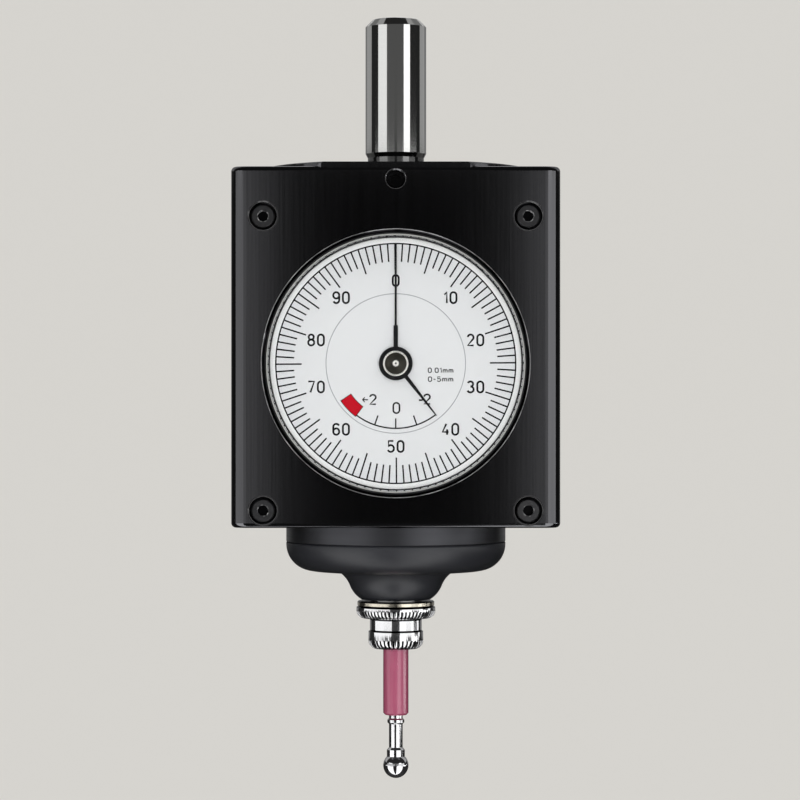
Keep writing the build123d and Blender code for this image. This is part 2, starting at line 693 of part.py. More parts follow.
def centre_arbor():
    """The main pointer's arbor with its eight-tooth pinion and a riveted end."""
    cap_front = HUB_CAP_Y - HUB_CAP_T
    arbor = disc(0, DIAL_Z, ARBOR_R, BACK_PLATE_Y - ARBOR_END_PLAY, cap_front)
    arbor += disc(0, DIAL_Z, ARBOR_END_R, cap_front, cap_front - ARBOR_END_T)
    phase = MESH_ANGLE + 180 + 180 / CENTRE_TEETH
    back = DRIVE_WHEEL_Y + (CENTRE_PINION_WIDTH - WHEEL_T) / 2
    arbor += gear(CENTRE_TEETH, DRIVE_MODULE, phase, 0, DIAL_Z, back, CENTRE_PINION_WIDTH)
    return arbor


def take_up_arbor():
    """The arbor of the wheel that the hairspring loads, with the hairspring's collet."""
    front = FRONT_PLATE_FRONT_Y + ARBOR_END_PLAY
    arbor = disc(TAKE_UP_X, TAKE_UP_Z, ARBOR_R, BACK_PLATE_Y - ARBOR_END_PLAY, front)
    collet_back = HAIRSPRING_Y + (COLLET_W - HAIRSPRING_W) / 2
    return arbor + disc(TAKE_UP_X, TAKE_UP_Z, COLLET_R, collet_back, collet_back - COLLET_W)


def take_up_wheel():
    phase = MESH_ANGLE + 180
    wheel = spoked_wheel(DRIVE_TEETH, DRIVE_MODULE, phase, TAKE_UP_X, TAKE_UP_Z, DRIVE_WHEEL_Y)
    bore_r = ARBOR_R + SEAT_GAP
    return wheel - disc(TAKE_UP_X, TAKE_UP_Z, bore_r, DRIVE_WHEEL_Y, DRIVE_WHEEL_Y - WHEEL_T)


def hairspring_end_r():
    return HAIRSPRING_INNER_R + (HAIRSPRING_HALF_TURN_COUNT - 1) * HAIRSPRING_PITCH / 2


def hairspring():
    """A flat spiral made of half turns, each a little wider than the last."""
    spiral = Sketch()
    for half_turn in range(HAIRSPRING_HALF_TURN_COUNT):
        radius = HAIRSPRING_INNER_R + half_turn * HAIRSPRING_PITCH / 2
        side = 1 if half_turn % 2 == 0 else -1
        ring = Circle(radius + HAIRSPRING_T / 2) - Circle(radius - HAIRSPRING_T / 2)
        half_plane = Pos(0, side * radius) * Rectangle(4 * radius, 2 * radius)
        shift = -side * HAIRSPRING_PITCH / 4
        spiral += Pos(shift, 0) * (ring & half_plane)
    place = Pos(TAKE_UP_X, TAKE_UP_Z)
    return slab(place * spiral, HAIRSPRING_Y, HAIRSPRING_Y - HAIRSPRING_W)


def hairspring_stud():
    """The post in the front plate beside the hairspring's outer end."""
    side = 1 if HAIRSPRING_HALF_TURN_COUNT % 2 else -1
    reach = hairspring_end_r() + HAIRSPRING_PITCH / 4 + HAIRSPRING_T / 2 + STUD_R + SEAT_GAP
    x = TAKE_UP_X - side * reach
    return disc(x, TAKE_UP_Z, STUD_R, HAIRSPRING_Y, FRONT_PLATE_Y + SEAT_GAP)


def counter_wheel():
    """The revolution counter's wheel on its tube, which runs on the centre arbor."""
    phase = MESH_ANGLE + 180 + 180 / COUNTER_TEETH
    wheel = gear(
        COUNTER_TEETH, COUNTER_MODULE, phase, 0, DIAL_Z, COUNTER_WHEEL_Y, WHEEL_T
    )
    tube_front = SMALL_POINTER_Y - POINTER_T
    tube_back = COUNTER_WHEEL_Y + COUNTER_TUBE_SHOULDER
    wheel += disc(0, DIAL_Z, COUNTER_TUBE_R, tube_back, tube_front)
    return wheel - disc(0, DIAL_Z, ARBOR_R + JOURNAL_GAP, tube_back, tube_front)


def small_pointer():
    """A tapered hand that shows whole turns of the main pointer."""
    half_w = SMALL_POINTER_W / 2
    half_p = SMALL_POINTER_POINT_W / 2
    blade = make_face(
        Polyline(
            (0, -half_w), (SMALL_POINTER_TIP_R, -half_p), (SMALL_POINTER_TIP_R, half_p), (0, half_w),
            close=True,
        )
    )
    outline = Rot(0, 0, SMALL_POINTER_ANGLE) * blade + Circle(SMALL_POINTER_HUB_R)
    outline -= Circle(COUNTER_TUBE_R + SEAT_GAP)
    return slab(Pos(0, DIAL_Z) * outline, SMALL_POINTER_Y, SMALL_POINTER_Y - POINTER_T)


def main_pointer():
    """A straight hand with a stouter stem and a round boss."""
    stem = Pos(0, MAIN_POINTER_STEM_R / 2) * Rectangle(MAIN_POINTER_STEM_W, MAIN_POINTER_STEM_R)
    blade = Pos(0, MAIN_POINTER_TIP_R / 2) * Rectangle(MAIN_POINTER_W, MAIN_POINTER_TIP_R)
    outline = stem + blade + Circle(MAIN_POINTER_HUB_R)
    outline -= Circle(ARBOR_R + SEAT_GAP)
    return slab(Pos(0, DIAL_Z) * outline, MAIN_POINTER_Y, MAIN_POINTER_Y - POINTER_T)


def pointer_hub_cap():
    """The turned cap on the main pointer's boss, dished inside a raised rim."""
    front = HUB_CAP_Y - HUB_CAP_T
    cap = disc(0, DIAL_Z, HUB_CAP_R, HUB_CAP_Y, front)
    dish = disc(0, DIAL_Z, HUB_CAP_R - HUB_CAP_RIM, front + HUB_CAP_DISH, front)
    dish -= disc(0, DIAL_Z, 2 * ARBOR_END_R, front + HUB_CAP_DISH, front)
    cap -= dish
    return cap - disc(0, DIAL_Z, ARBOR_R + SEAT_GAP, HUB_CAP_Y, front)


def rack_teeth():
    """The cutter for the rack's gaps, one of which faces the pinion's axis."""
    tip, _, root = tooth_widths(RACK_MODULE)
    tip_x = -RACK_LINE_X - ADDENDUM * RACK_MODULE
    root_x = -RACK_LINE_X + DEDENDUM * RACK_MODULE
    half_pitch = RACK_PITCH / 2
    gaps = []
    below = math.floor((DRIVE_Z - RACK_BOTTOM_Z) / RACK_PITCH - 0.5)
    above = math.floor((RACK_TOP_Z - DRIVE_Z) / RACK_PITCH - 0.5)
    for place in range(-below, above + 1):
        z = DRIVE_Z + place * RACK_PITCH
        points = [
            (tip_x - CUT_OVERRUN, z - (half_pitch - tip)),
            (tip_x, z - (half_pitch - tip)),
            (root_x, z - (half_pitch - root)),
            (root_x, z + (half_pitch - root)),
            (tip_x, z + (half_pitch - tip)),
            (tip_x - CUT_OVERRUN, z + (half_pitch - tip)),
        ]
        gaps.append(slab(make_face(Polyline(*points, close=True)), PLUNGER_R, -PLUNGER_R))
    return gaps


def plunger():
    """The measuring rod with its rack on the left and its guide slot at the rear."""
    bar = rod(PLUNGER_R, PLUNGER_FOOT_Z, PLUNGER_STEP_Z)
    bar += rod(PLUNGER_TOP_R, PLUNGER_STEP_Z, PLUNGER_TOP_Z)
    spigot_z = PLUNGER_FOOT_Z - PLUNGER_SPIGOT_LENGTH
    bar += rod(PLUNGER_SPIGOT_R, spigot_z, PLUNGER_FOOT_Z)
    flat_x = -RACK_LINE_X - ADDENDUM * RACK_MODULE
    flat_w = PLUNGER_R + flat_x
    flat_h = RACK_TOP_Z - RACK_BOTTOM_Z
    flat_z = (RACK_TOP_Z + RACK_BOTTOM_Z) / 2
    bar -= Pos(flat_x - flat_w / 2, 0, flat_z) * Box(flat_w, 2 * PLUNGER_R, flat_h)
    bar -= rack_teeth()
    slot_top = SLOT_STOP_Z + DOG_R + RUN_GAP
    slot_bottom = SLOT_STOP_Z - DOG_R - LIFT - SLOT_END_GAP
    slot_floor = DOG_REACH - SLOT_FLOOR_GAP
    slot_depth = PLUNGER_R - slot_floor
    slot = Box(2 * (DOG_R + SLOT_SIDE_GAP), slot_depth, slot_top - slot_bottom)
    return bar - Pos(0, slot_floor + slot_depth / 2, (slot_top + slot_bottom) / 2) * slot


def upper_guide_bush():
    bottom = BODY_BORE_TOP_Z - UPPER_BUSH_LENGTH
    bush = rod(BODY_BORE_R - SEAT_GAP, bottom, BODY_BORE_TOP_Z - SEAT_GAP)
    return bush - rod(PLUNGER_TOP_R + RUN_GAP, bottom, BODY_BORE_TOP_Z)


def lower_guide_bush():
    top = RECESS_TOP_Z + LOWER_BUSH_LENGTH
    bush = rod(BODY_BORE_R - SEAT_GAP, RECESS_TOP_Z, top)
    return bush - rod(PLUNGER_R + RUN_GAP, RECESS_TOP_Z, top)


def guide_screw():
    """The dog-point screw that keeps the rod from turning and stops it at the bottom."""
    step = DOG_REACH + DOG_LENGTH
    dog = disc(0, SLOT_STOP_Z, DOG_R, step, DOG_REACH)
    body = Rot(-90, 0, 0) * grub_screw(GRUB_R, GUIDE_SCREW_LENGTH, GRUB_SOCKET, GRUB_SOCKET_DEPTH)
    return dog + Pos(0, step, SLOT_STOP_Z) * body


def coil_spring(mean_r, wire_w, wire_h, turns, z_low, z_high):
    """A compression spring of flat wire that just clears both of its seats."""
    height = z_high - z_low - wire_h - 2 * SEAT_GAP
    path = Helix(pitch=height / turns, height=height, radius=mean_r)
    section = Plane(origin=(mean_r, 0, 0), x_dir=(1, 0, 0), z_dir=(0, -1, 0))
    wire = sweep(section * Rectangle(wire_w, wire_h), path=path, is_frenet=True)
    return Pos(0, 0, z_low + wire_h / 2 + SEAT_GAP) * wire


def return_spring():
    seat = BODY_BORE_TOP_Z - UPPER_BUSH_LENGTH
    return coil_spring(
        RETURN_SPRING_R, RETURN_SPRING_WIRE_W, RETURN_SPRING_WIRE_H, RETURN_SPRING_TURN_COUNT,
        PLUNGER_STEP_Z, seat,
    )


def joint_cup():
    """The cup on the rod's foot that carries the cardan ring inside it."""
    cup = rod(CUP_R, CUP_FOOT_Z, PLUNGER_FOOT_Z)
    cup = chamfer(cup.edges().group_by(Axis.Z)[-1], CUP_EDGE)
    cup -= rod(CUP_BORE_R, CUP_FOOT_Z, CUP_FLOOR_Z)
    cup -= rod(CUP_POCKET_R, CUP_FLOOR_Z, CUP_FLOOR_Z + CUP_POCKET_DEPTH)
    cup -= rod(PLUNGER_SPIGOT_R + SEAT_GAP, CUP_FLOOR_Z, PLUNGER_FOOT_Z)
    pins = Pos(0, 0, PIVOT_Z) * Rot(0, 90, 0) * Cylinder(PIVOT_PIN_R + SEAT_GAP, 2 * CUP_R + CUT_OVERRUN)
    return cup - pins


def cup_pins():
    """Two pins held in the cup, on the X axis, that the ring swings on."""
    inner = RING_R - PIN_REACH
    outer = CUP_R - PIN_SINK
    pin = Rot(0, 90, 0) * Cylinder(PIVOT_PIN_R, outer - inner)
    return [Pos(side * (inner + outer) / 2, 0, PIVOT_Z) * pin for side in (-1, 1)]


def cardan_ring():
    ring = rod(RING_R, CUP_FOOT_Z, HEAD_TOP_Z)
    ring -= rod(RING_BORE_R, CUP_FOOT_Z, HEAD_TOP_Z)
    across = Pos(0, 0, PIVOT_Z) * Rot(0, 90, 0)
    along = Pos(0, 0, PIVOT_Z) * Rot(90, 0, 0)
    ring -= across * Cylinder(PIVOT_PIN_R + PIN_RUN_GAP, 2 * RING_R + CUT_OVERRUN)
    return ring - along * Cylinder(PIVOT_PIN_R + SEAT_GAP, 2 * RING_R + CUT_OVERRUN)


def ring_pins():
    """Two pins held in the ring, on the Y axis, that the probe arm swings on."""
    inner = HEAD_R - PIN_REACH
    outer = RING_R - PIN_SINK
    pin = Rot(90, 0, 0) * Cylinder(PIVOT_PIN_R, outer - inner)
    return [Pos(0, side * (inner + outer) / 2, PIVOT_Z) * pin for side in (-1, 1)]


def centring_spring():
    top = CUP_FLOOR_Z + CUP_POCKET_DEPTH
    return coil_spring(
        CENTRING_SPRING_R, CENTRING_SPRING_WIRE_W, CENTRING_SPRING_WIRE_H,
        CENTRING_SPRING_TURN_COUNT, HEAD_TOP_Z, top,
    )


def barb_stations(root_r, barb_r, gap):
    """The barb's (radius, height) points from its foot up, widened by a gap for the boot."""
    low = BOOT_SPLIT_Z - BOOT_LOWER_LENGTH + BOOT_BARB_RISE
    high = low + 2 * BOOT_BARB_SLOPE + BOOT_BARB_LAND
    return [
        (root_r + gap, low - gap),
        (barb_r + gap, low + BOOT_BARB_SLOPE - gap),
        (barb_r + gap, high - BOOT_BARB_SLOPE + gap),
        (root_r + gap, high + gap),
    ]


def boot_ring():
    """The round nut under the case, with the barb that holds the boot."""
    barb_foot = BOOT_SPLIT_Z - BOOT_LOWER_LENGTH
    spigot_r = RECESS_R - BORE_GAP
    seat_z = CASE_BOTTOM_Z - SEAT_GAP
    return turned(
        [(BOOT_RING_BORE_R, barb_foot), (BOOT_BARB_ROOT_R, barb_foot)]
        + barb_stations(BOOT_BARB_ROOT_R, BOOT_BARB_R, 0)
        + [
            (BOOT_BARB_ROOT_R, BOOT_SPLIT_Z),
            (BOOT_R - BOOT_EDGE, BOOT_SPLIT_Z),
            (BOOT_R, BOOT_SPLIT_Z + BOOT_EDGE),
            (BOOT_R, seat_z),
            (spigot_r, seat_z),
            (spigot_r, CASE_BOTTOM_Z + BOOT_SPIGOT_LENGTH),
            (BOOT_RING_BORE_R, CASE_BOTTOM_Z + BOOT_SPIGOT_LENGTH),
        ]
    )


def rubber_boot():
    """The rubber boot: a full round corner, a flat bottom and a waisted foot on the arm."""
    rim_z = BOOT_SPLIT_Z - SEAT_GAP
    shoulder_z = BOOT_SPLIT_Z - BOOT_LOWER_LENGTH - SEAT_GAP
    bore_r = BOOT_BARB_ROOT_R + BORE_GAP
    neck_r = ARM_R + BORE_GAP
    corner_top = (BOOT_R, BOOT_FLAT_Z + BOOT_CORNER_R)
    corner_foot = (BOOT_R - BOOT_CORNER_R, BOOT_FLAT_Z)
    crease = (BOOT_CREASE_R, BOOT_FLAT_Z - BOOT_CREASE_DROP)
    waist = (BOOT_WAIST_R, BOOT_WAIST_Z)
    foot = (BOOT_FOOT_R, BOOT_FOOT_Z)
    inner_z = BOOT_FLAT_Z + BOOT_WALL
    rim = Polyline((bore_r, rim_z), (BOOT_R - BOOT_EDGE, rim_z), (BOOT_R, rim_z - BOOT_EDGE), corner_top)
    corner = RadiusArc(corner_top, corner_foot, BOOT_CORNER_R)
    flat = Line(corner_foot, crease)
    hollow = RadiusArc(crease, waist, -BOOT_HOLLOW_R)
    bulge = RadiusArc(waist, foot, BOOT_BULGE_R)
    inside = Polyline(
        [
            foot,
            (neck_r, BOOT_FOOT_Z),
            (neck_r, BOOT_FOOT_Z + BOOT_WALL),
            (BOOT_WAIST_R - BOOT_WALL, BOOT_WAIST_Z),
            (BOOT_CREASE_R - BOOT_WALL / 2, inner_z - BOOT_CREASE_DROP),
            (BOOT_R - BOOT_CORNER_R, inner_z),
            (BOOT_BARB_ROOT_R - BOOT_WALL, inner_z + BOOT_WALL / 2),
            (BOOT_BARB_ROOT_R, shoulder_z),
            (bore_r, shoulder_z),
        ]
        + barb_stations(BOOT_BARB_ROOT_R, BOOT_BARB_R, BORE_GAP)
        + [(bore_r, rim_z)]
    )
    outline = rim + corner + flat + hollow + bulge + inside
    return revolve(make_face(Plane.XZ * outline), Axis.Z)


def probe_arm():
    """The arm: a head inside the cardan ring, a stem through the boot and a threaded end."""
    foot_z = KNURL_RING_TOP_Z - KNURL_RING_H
    arm = turned(
        [
            (0, foot_z),
            (ARM_NECK_R, foot_z),
            (ARM_NECK_R, ARM_SHOULDER_Z),
            (ARM_R, ARM_SHOULDER_Z),
            (ARM_R, CUP_FOOT_Z - HEAD_CONE),
            (HEAD_R - HEAD_EDGE, CUP_FOOT_Z),
            (HEAD_R, CUP_FOOT_Z + HEAD_EDGE),
            (HEAD_R, HEAD_TOP_Z),
            (0, HEAD_TOP_Z),
        ]
    )
    pins = Pos(0, 0, PIVOT_Z) * Rot(90, 0, 0) * Cylinder(PIVOT_PIN_R + PIN_RUN_GAP, 2 * HEAD_R + CUT_OVERRUN)
    stud_top = BASE_TOP_Z + BASE_STUD_LENGTH + DRILL_END
    return arm - pins - rod(ARM_BORE_R, foot_z, stud_top)


def boot_washer():
    """The bright washer that clamps the boot's foot."""
    top = ARM_SHOULDER_Z - SEAT_GAP
    washer = rod(WASHER_R, top - WASHER_T + 2 * SEAT_GAP, top)
    washer = chamfer(washer.edges(), WASHER_EDGE)
    return washer - rod(ARM_NECK_R + BORE_GAP, top - WASHER_T, top)


def knurl_outline(radius, depth, grooves):
    """A toothed ring's outline whose points reach the radius."""
    points = []
    for step in range(2 * grooves):
        angle = math.pi * step / grooves
        reach = radius - depth * (step % 2)
        points.append((reach * math.cos(angle), reach * math.sin(angle)))
    return make_face(Polyline(*points, close=True))


def knurled_bevel(stations, depth, grooves):
    """A straight knurl down a rounded bevel, through (radius, height) stations from the top."""
    bevel = None
    for (upper_r, upper_z), (lower_r, lower_z) in zip(stations, stations[1:]):
        upper = Pos(0, 0, upper_z) * knurl_outline(upper_r, depth, grooves)
        lower = Pos(0, 0, lower_z) * knurl_outline(lower_r, depth, grooves)
        step = loft([lower, upper], ruled=True)
        bevel = step if bevel is None else bevel + step
    return bevel


def knurled_ring():
    """The clamp ring, smooth at the top and straight-knurled down its bevel."""
    top = KNURL_RING_TOP_Z - SEAT_GAP
    foot = KNURL_RING_TOP_Z - KNURL_RING_H
    band_z = top - KNURL_RING_BAND
    shoulder = (KNURL_RING_SHOULDER_R, band_z - KNURL_RING_SHOULDER_H)
    stations = [(KNURL_RING_R, band_z), shoulder, (KNURL_RING_FOOT_R, foot)]
    band = rod(KNURL_RING_R, band_z, top)
    band = chamfer(band.edges().group_by(Axis.Z)[-1], KNURL_RING_EDGE)
    ring = band + knurled_bevel(stations, KNURL_RING_DEPTH, KNURL_RING_GROOVE_COUNT)
    return ring - rod(ARM_NECK_R + BORE_GAP, foot, top)


def stylus_base():
    """The stylus's steel base: threaded stud, neck and a collar knurled on its taper."""
    stud_top = BASE_TOP_Z + BASE_STUD_LENGTH
    stud_r = ARM_BORE_R - BORE_GAP
    band_z = COLLAR_TOP_Z - COLLAR_BAND
    shoulder = (COLLAR_SHOULDER_R, band_z - COLLAR_SHOULDER_H)
    stations = [(COLLAR_R, band_z), shoulder, (COLLAR_FOOT_R, COLLAR_FOOT_Z)]
    plain = turned(
        [
            (0, band_z),
            (COLLAR_R, band_z),
            (COLLAR_TOP_R, COLLAR_TOP_Z - COLLAR_EDGE),
            (COLLAR_TOP_R - COLLAR_EDGE, COLLAR_TOP_Z),
            (BASE_NECK_R, COLLAR_TOP_Z),
            (BASE_NECK_R, BASE_TOP_Z),
            (stud_r, BASE_TOP_Z),
            (stud_r, stud_top),
            (0, stud_top),
        ]
    )
    base = plain + knurled_bevel(stations, COLLAR_KNURL_DEPTH, COLLAR_GROOVE_COUNT)
    inset_z = COLLAR_FOOT_Z + CERAMIC_INSET
    return base - rod(CERAMIC_R + SEAT_GAP, COLLAR_FOOT_Z, inset_z)


def ceramic_stem():
    top = COLLAR_FOOT_Z + CERAMIC_INSET - SEAT_GAP
    stem = rod(CERAMIC_R, CERAMIC_FOOT_Z, top)
    stem = chamfer(stem.edges().group_by(Axis.Z)[0], CERAMIC_CHAMFER)
    spigot_top = CERAMIC_FOOT_Z + TIP_SPIGOT_LENGTH + SPIGOT_END_GAP
    return stem - rod(TIP_SPIGOT_R + SEAT_GAP, CERAMIC_FOOT_Z, spigot_top)


def stylus_tip():
    """The steel tip with its bead, stem and the cup that holds the ball."""
    top = CERAMIC_FOOT_Z - SEAT_GAP
    bead_z = TIP_BEAD_Z - TIP_BEAD_T
    tip = turned(
        [
            (0, TIP_COLLAR_BOTTOM_Z),
            (TIP_COLLAR_R, TIP_COLLAR_BOTTOM_Z),
            (TIP_COLLAR_R, TIP_COLLAR_TOP_Z),
            (TIP_STEM_R, TIP_CONE_TOP_Z),
            (TIP_STEM_R, bead_z),
            (TIP_BEAD_R, bead_z + TIP_BEAD_EDGE),
            (TIP_BEAD_R, TIP_BEAD_Z - TIP_BEAD_EDGE),
            (TIP_STEM_R, TIP_BEAD_Z),
            (TIP_STEM_R, top),
            (TIP_SPIGOT_R, top),
            (TIP_SPIGOT_R, CERAMIC_FOOT_Z + TIP_SPIGOT_LENGTH),
            (0, CERAMIC_FOOT_Z + TIP_SPIGOT_LENGTH),
        ]
    )
    return tip - Pos(0, 0, BALL_Z) * Sphere(BALL_R + SEAT_GAP)


def probe_ball():
    return Pos(0, 0, BALL_Z) * Sphere(BALL_R)


PIECES = {
    "case_body": case_body,
    "front_cover": front_cover,
    "clamping_shank": clamping_shank,
    "flange_screws": flange_screws,
    "runout_screws": runout_screws,
    "cover_screws": cover_screws,
    "crystal": crystal,
    "crystal_seal": crystal_seal,
    "dial_plate": dial_plate,
    "movement_front_plate": movement_front_plate,
    "movement_back_plate": movement_back_plate,
    "movement_pillars": movement_pillars,
    "movement_screws": movement_screws,
    "pinion_bush": pinion_bush,
    "pinion_arbor": pinion_arbor,
    "drive_wheel": drive_wheel,
    "centre_arbor": centre_arbor,
    "take_up_arbor": take_up_arbor,
    "take_up_wheel": take_up_wheel,
    "hairspring": hairspring,
    "hairspring_stud": hairspring_stud,
    "counter_wheel": counter_wheel,
    "small_pointer": small_pointer,
    "main_pointer": main_pointer,
    "pointer_hub_cap": pointer_hub_cap,
    "plunger": plunger,
    "upper_guide_bush": upper_guide_bush,
    "lower_guide_bush": lower_guide_bush,
    "guide_screw": guide_screw,
    "return_spring": return_spring,
    "joint_cup": joint_cup,
    "cup_pins": cup_pins,
    "cardan_ring": cardan_ring,
    "ring_pins": ring_pins,
    "centring_spring": centring_spring,
    "boot_ring": boot_ring,
    "rubber_boot": rubber_boot,
    "probe_arm": probe_arm,
    "boot_washer": boot_washer,
    "knurled_ring": knurled_ring,
    "stylus_base": stylus_base,
    "ceramic_stem": ceramic_stem,
    "stylus_tip": stylus_tip,
    "probe_ball": probe_ball,
}

os.makedirs("parts", exist_ok=True)
for name, build_piece in PIECES.items():
    piece = build_piece()
    shape = Compound(children=piece) if isinstance(piece, list) else piece
    export_step(shape, f"parts/{name}.step")
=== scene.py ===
"""Looks of the three-dimensional edge finder: printed dial, rubber boot, finishes and studio."""

import logging
import math
from dataclasses import dataclass, field
from enum import Enum

import bmesh
import bpy
from mathutils import Matrix, Vector


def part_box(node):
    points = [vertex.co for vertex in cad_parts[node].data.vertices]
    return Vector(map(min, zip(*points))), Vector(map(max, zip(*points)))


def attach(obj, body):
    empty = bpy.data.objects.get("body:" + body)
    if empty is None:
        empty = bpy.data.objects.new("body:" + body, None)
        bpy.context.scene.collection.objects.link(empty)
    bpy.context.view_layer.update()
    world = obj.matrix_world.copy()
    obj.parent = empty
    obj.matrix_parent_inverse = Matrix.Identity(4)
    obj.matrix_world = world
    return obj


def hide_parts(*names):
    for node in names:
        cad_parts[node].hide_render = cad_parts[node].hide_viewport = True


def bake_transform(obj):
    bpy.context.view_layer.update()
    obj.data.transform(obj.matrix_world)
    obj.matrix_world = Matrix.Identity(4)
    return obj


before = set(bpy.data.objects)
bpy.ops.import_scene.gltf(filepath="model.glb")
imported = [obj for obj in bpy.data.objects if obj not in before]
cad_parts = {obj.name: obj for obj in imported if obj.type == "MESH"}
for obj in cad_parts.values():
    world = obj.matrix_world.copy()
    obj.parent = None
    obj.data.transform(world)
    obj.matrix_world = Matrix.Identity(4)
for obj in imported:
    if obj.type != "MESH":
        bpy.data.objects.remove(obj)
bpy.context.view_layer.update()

MM = 0.001
TURN = 2 * math.pi
Colour = tuple[float, float, float]
Point = tuple[float, float]
log = logging.getLogger("edge_finder")


class Grain(Enum):
    """Which way the tool marks of a metal run."""

    UPRIGHT = "upright"
    AROUND_SHANK = "around_shank"
    AROUND_DIAL = "around_dial"
    EVEN = "even"


class Recipe:
    """The node tree of one material, with short calls for what the finishes share."""

    def __init__(self, name: str) -> None:
        """Start a material that holds only its output node.

        Args:
            name: The material's name.
        """
        self.material = bpy.data.materials.new(name)
        self.material.use_nodes = True
        self.tree = self.material.node_tree
        self.tree.nodes.clear()
        self.output = self.tree.nodes.new("ShaderNodeOutputMaterial")

    def node(self, kind: str, sockets: dict | None = None, **settings: object) -> bpy.types.Node:
        """Add a node.

        Args:
            kind: The node's type name.
            sockets: Values for its inputs by name or index; an output socket is linked.
            settings: Properties of the node itself.

        Returns:
            The new node.
        """
        made = self.tree.nodes.new(kind)
        for key, value in settings.items():
            setattr(made, key, value)
        for key, value in (sockets or {}).items():
            if isinstance(value, bpy.types.NodeSocket):
                self.tree.links.new(value, made.inputs[key])
            else:
                made.inputs[key].default_value = value
        return made

    def place(self, centre: Vector | None = None, facing: bool = False) -> bpy.types.NodeSocket:
        """Give the piece's own coordinates, moved to a centre and turned if wanted.

        Args:
            centre: The point in metres that becomes the pattern's origin.
            facing: True to turn the pattern's upright axis towards the dial's front.

        Returns:
            The vector socket.
        """
        own = self.node("ShaderNodeTexCoord").outputs["Object"]
        turn = (math.pi / 2 if facing else 0.0, 0.0, 0.0)
        sockets = {"Vector": own, "Location": centre or Vector(), "Rotation": turn}
        return self.node("ShaderNodeMapping", sockets, vector_type="TEXTURE").outputs["Vector"]

    def noise(self, vector: bpy.types.NodeSocket, scale: float, detail: float) -> bpy.types.NodeSocket:
        """Give a noise pattern's brightness on a vector."""
        sockets = {"Vector": vector, "Scale": scale, "Detail": detail, "Roughness": 0.6}
        return self.node("ShaderNodeTexNoise", sockets).outputs["Fac"]

    def spread(self, fac: bpy.types.NodeSocket, low: float, high: float) -> bpy.types.NodeSocket:
        """Stretch the middle of a pattern over a range of values."""
        sockets = {"Value": fac, "From Min": 0.3, "From Max": 0.7, "To Min": low, "To Max": high}
        return self.node("ShaderNodeMapRange", sockets).outputs["Result"]

    def tint(
        self, fac: bpy.types.NodeSocket, first: Colour | bpy.types.NodeSocket, second: Colour
    ) -> bpy.types.NodeSocket:
        """Mix two colours, the first of which may be a pattern of its own."""
        mixer = self.node("ShaderNodeMix", {"Factor": fac}, data_type="RGBA")
        base, over = [socket for socket in mixer.inputs if socket.type == "RGBA"]
        over.default_value = (*second, 1)
        if isinstance(first, bpy.types.NodeSocket):
            self.tree.links.new(first, base)
        else:
            base.default_value = (*first, 1)
        return next(socket for socket in mixer.outputs if socket.type == "RGBA")

    def band(
        self, value: bpy.types.NodeSocket, start: float, end: float, low: float = 0.0, high: float = 1.0
    ) -> bpy.types.NodeSocket:
        """Give a smooth step from one value to another as a pattern passes a range."""
        sockets = {"Value": value, "From Min": start, "From Max": end, "To Min": low, "To Max": high}
        steps = {"interpolation_type": "SMOOTHSTEP"}
        return self.node("ShaderNodeMapRange", sockets, **steps).outputs["Result"]

    def sum_up(self, operation: str, *values: bpy.types.NodeSocket | float) -> bpy.types.NodeSocket:
        """Work out one arithmetic step on patterns and numbers."""
        return self.node("ShaderNodeMath", dict(enumerate(values)), operation=operation).outputs[0]

    def from_axis(self, vector: bpy.types.NodeSocket) -> bpy.types.NodeSocket:
        """Give the distance from the pattern's upright axis."""
        parts = self.node("ShaderNodeSeparateXYZ", {"Vector": vector}).outputs
        flat = self.node("ShaderNodeCombineXYZ", {"X": parts["X"], "Y": parts["Y"]}).outputs[0]
        return self.node("ShaderNodeVectorMath", {0: flat}, operation="LENGTH").outputs["Value"]

    def bump(self, height: bpy.types.NodeSocket, depth: float) -> bpy.types.NodeSocket:
        """Turn a pattern into a surface of a given depth in metres."""
        sockets = {"Height": height, "Strength": 1.0, "Distance": depth}
        return self.node("ShaderNodeBump", sockets).outputs["Normal"]

    def finish(self, shader: bpy.types.Node) -> bpy.types.Material:
        """Join the last shader to the output and give the material."""
        self.tree.links.new(shader.outputs[0], self.output.inputs["Surface"])
        return self.material


def scaled(colour: Colour, factor: float) -> Colour:
    """Make a colour lighter or darker."""
    return tuple(min(1.0, channel * factor) for channel in colour)


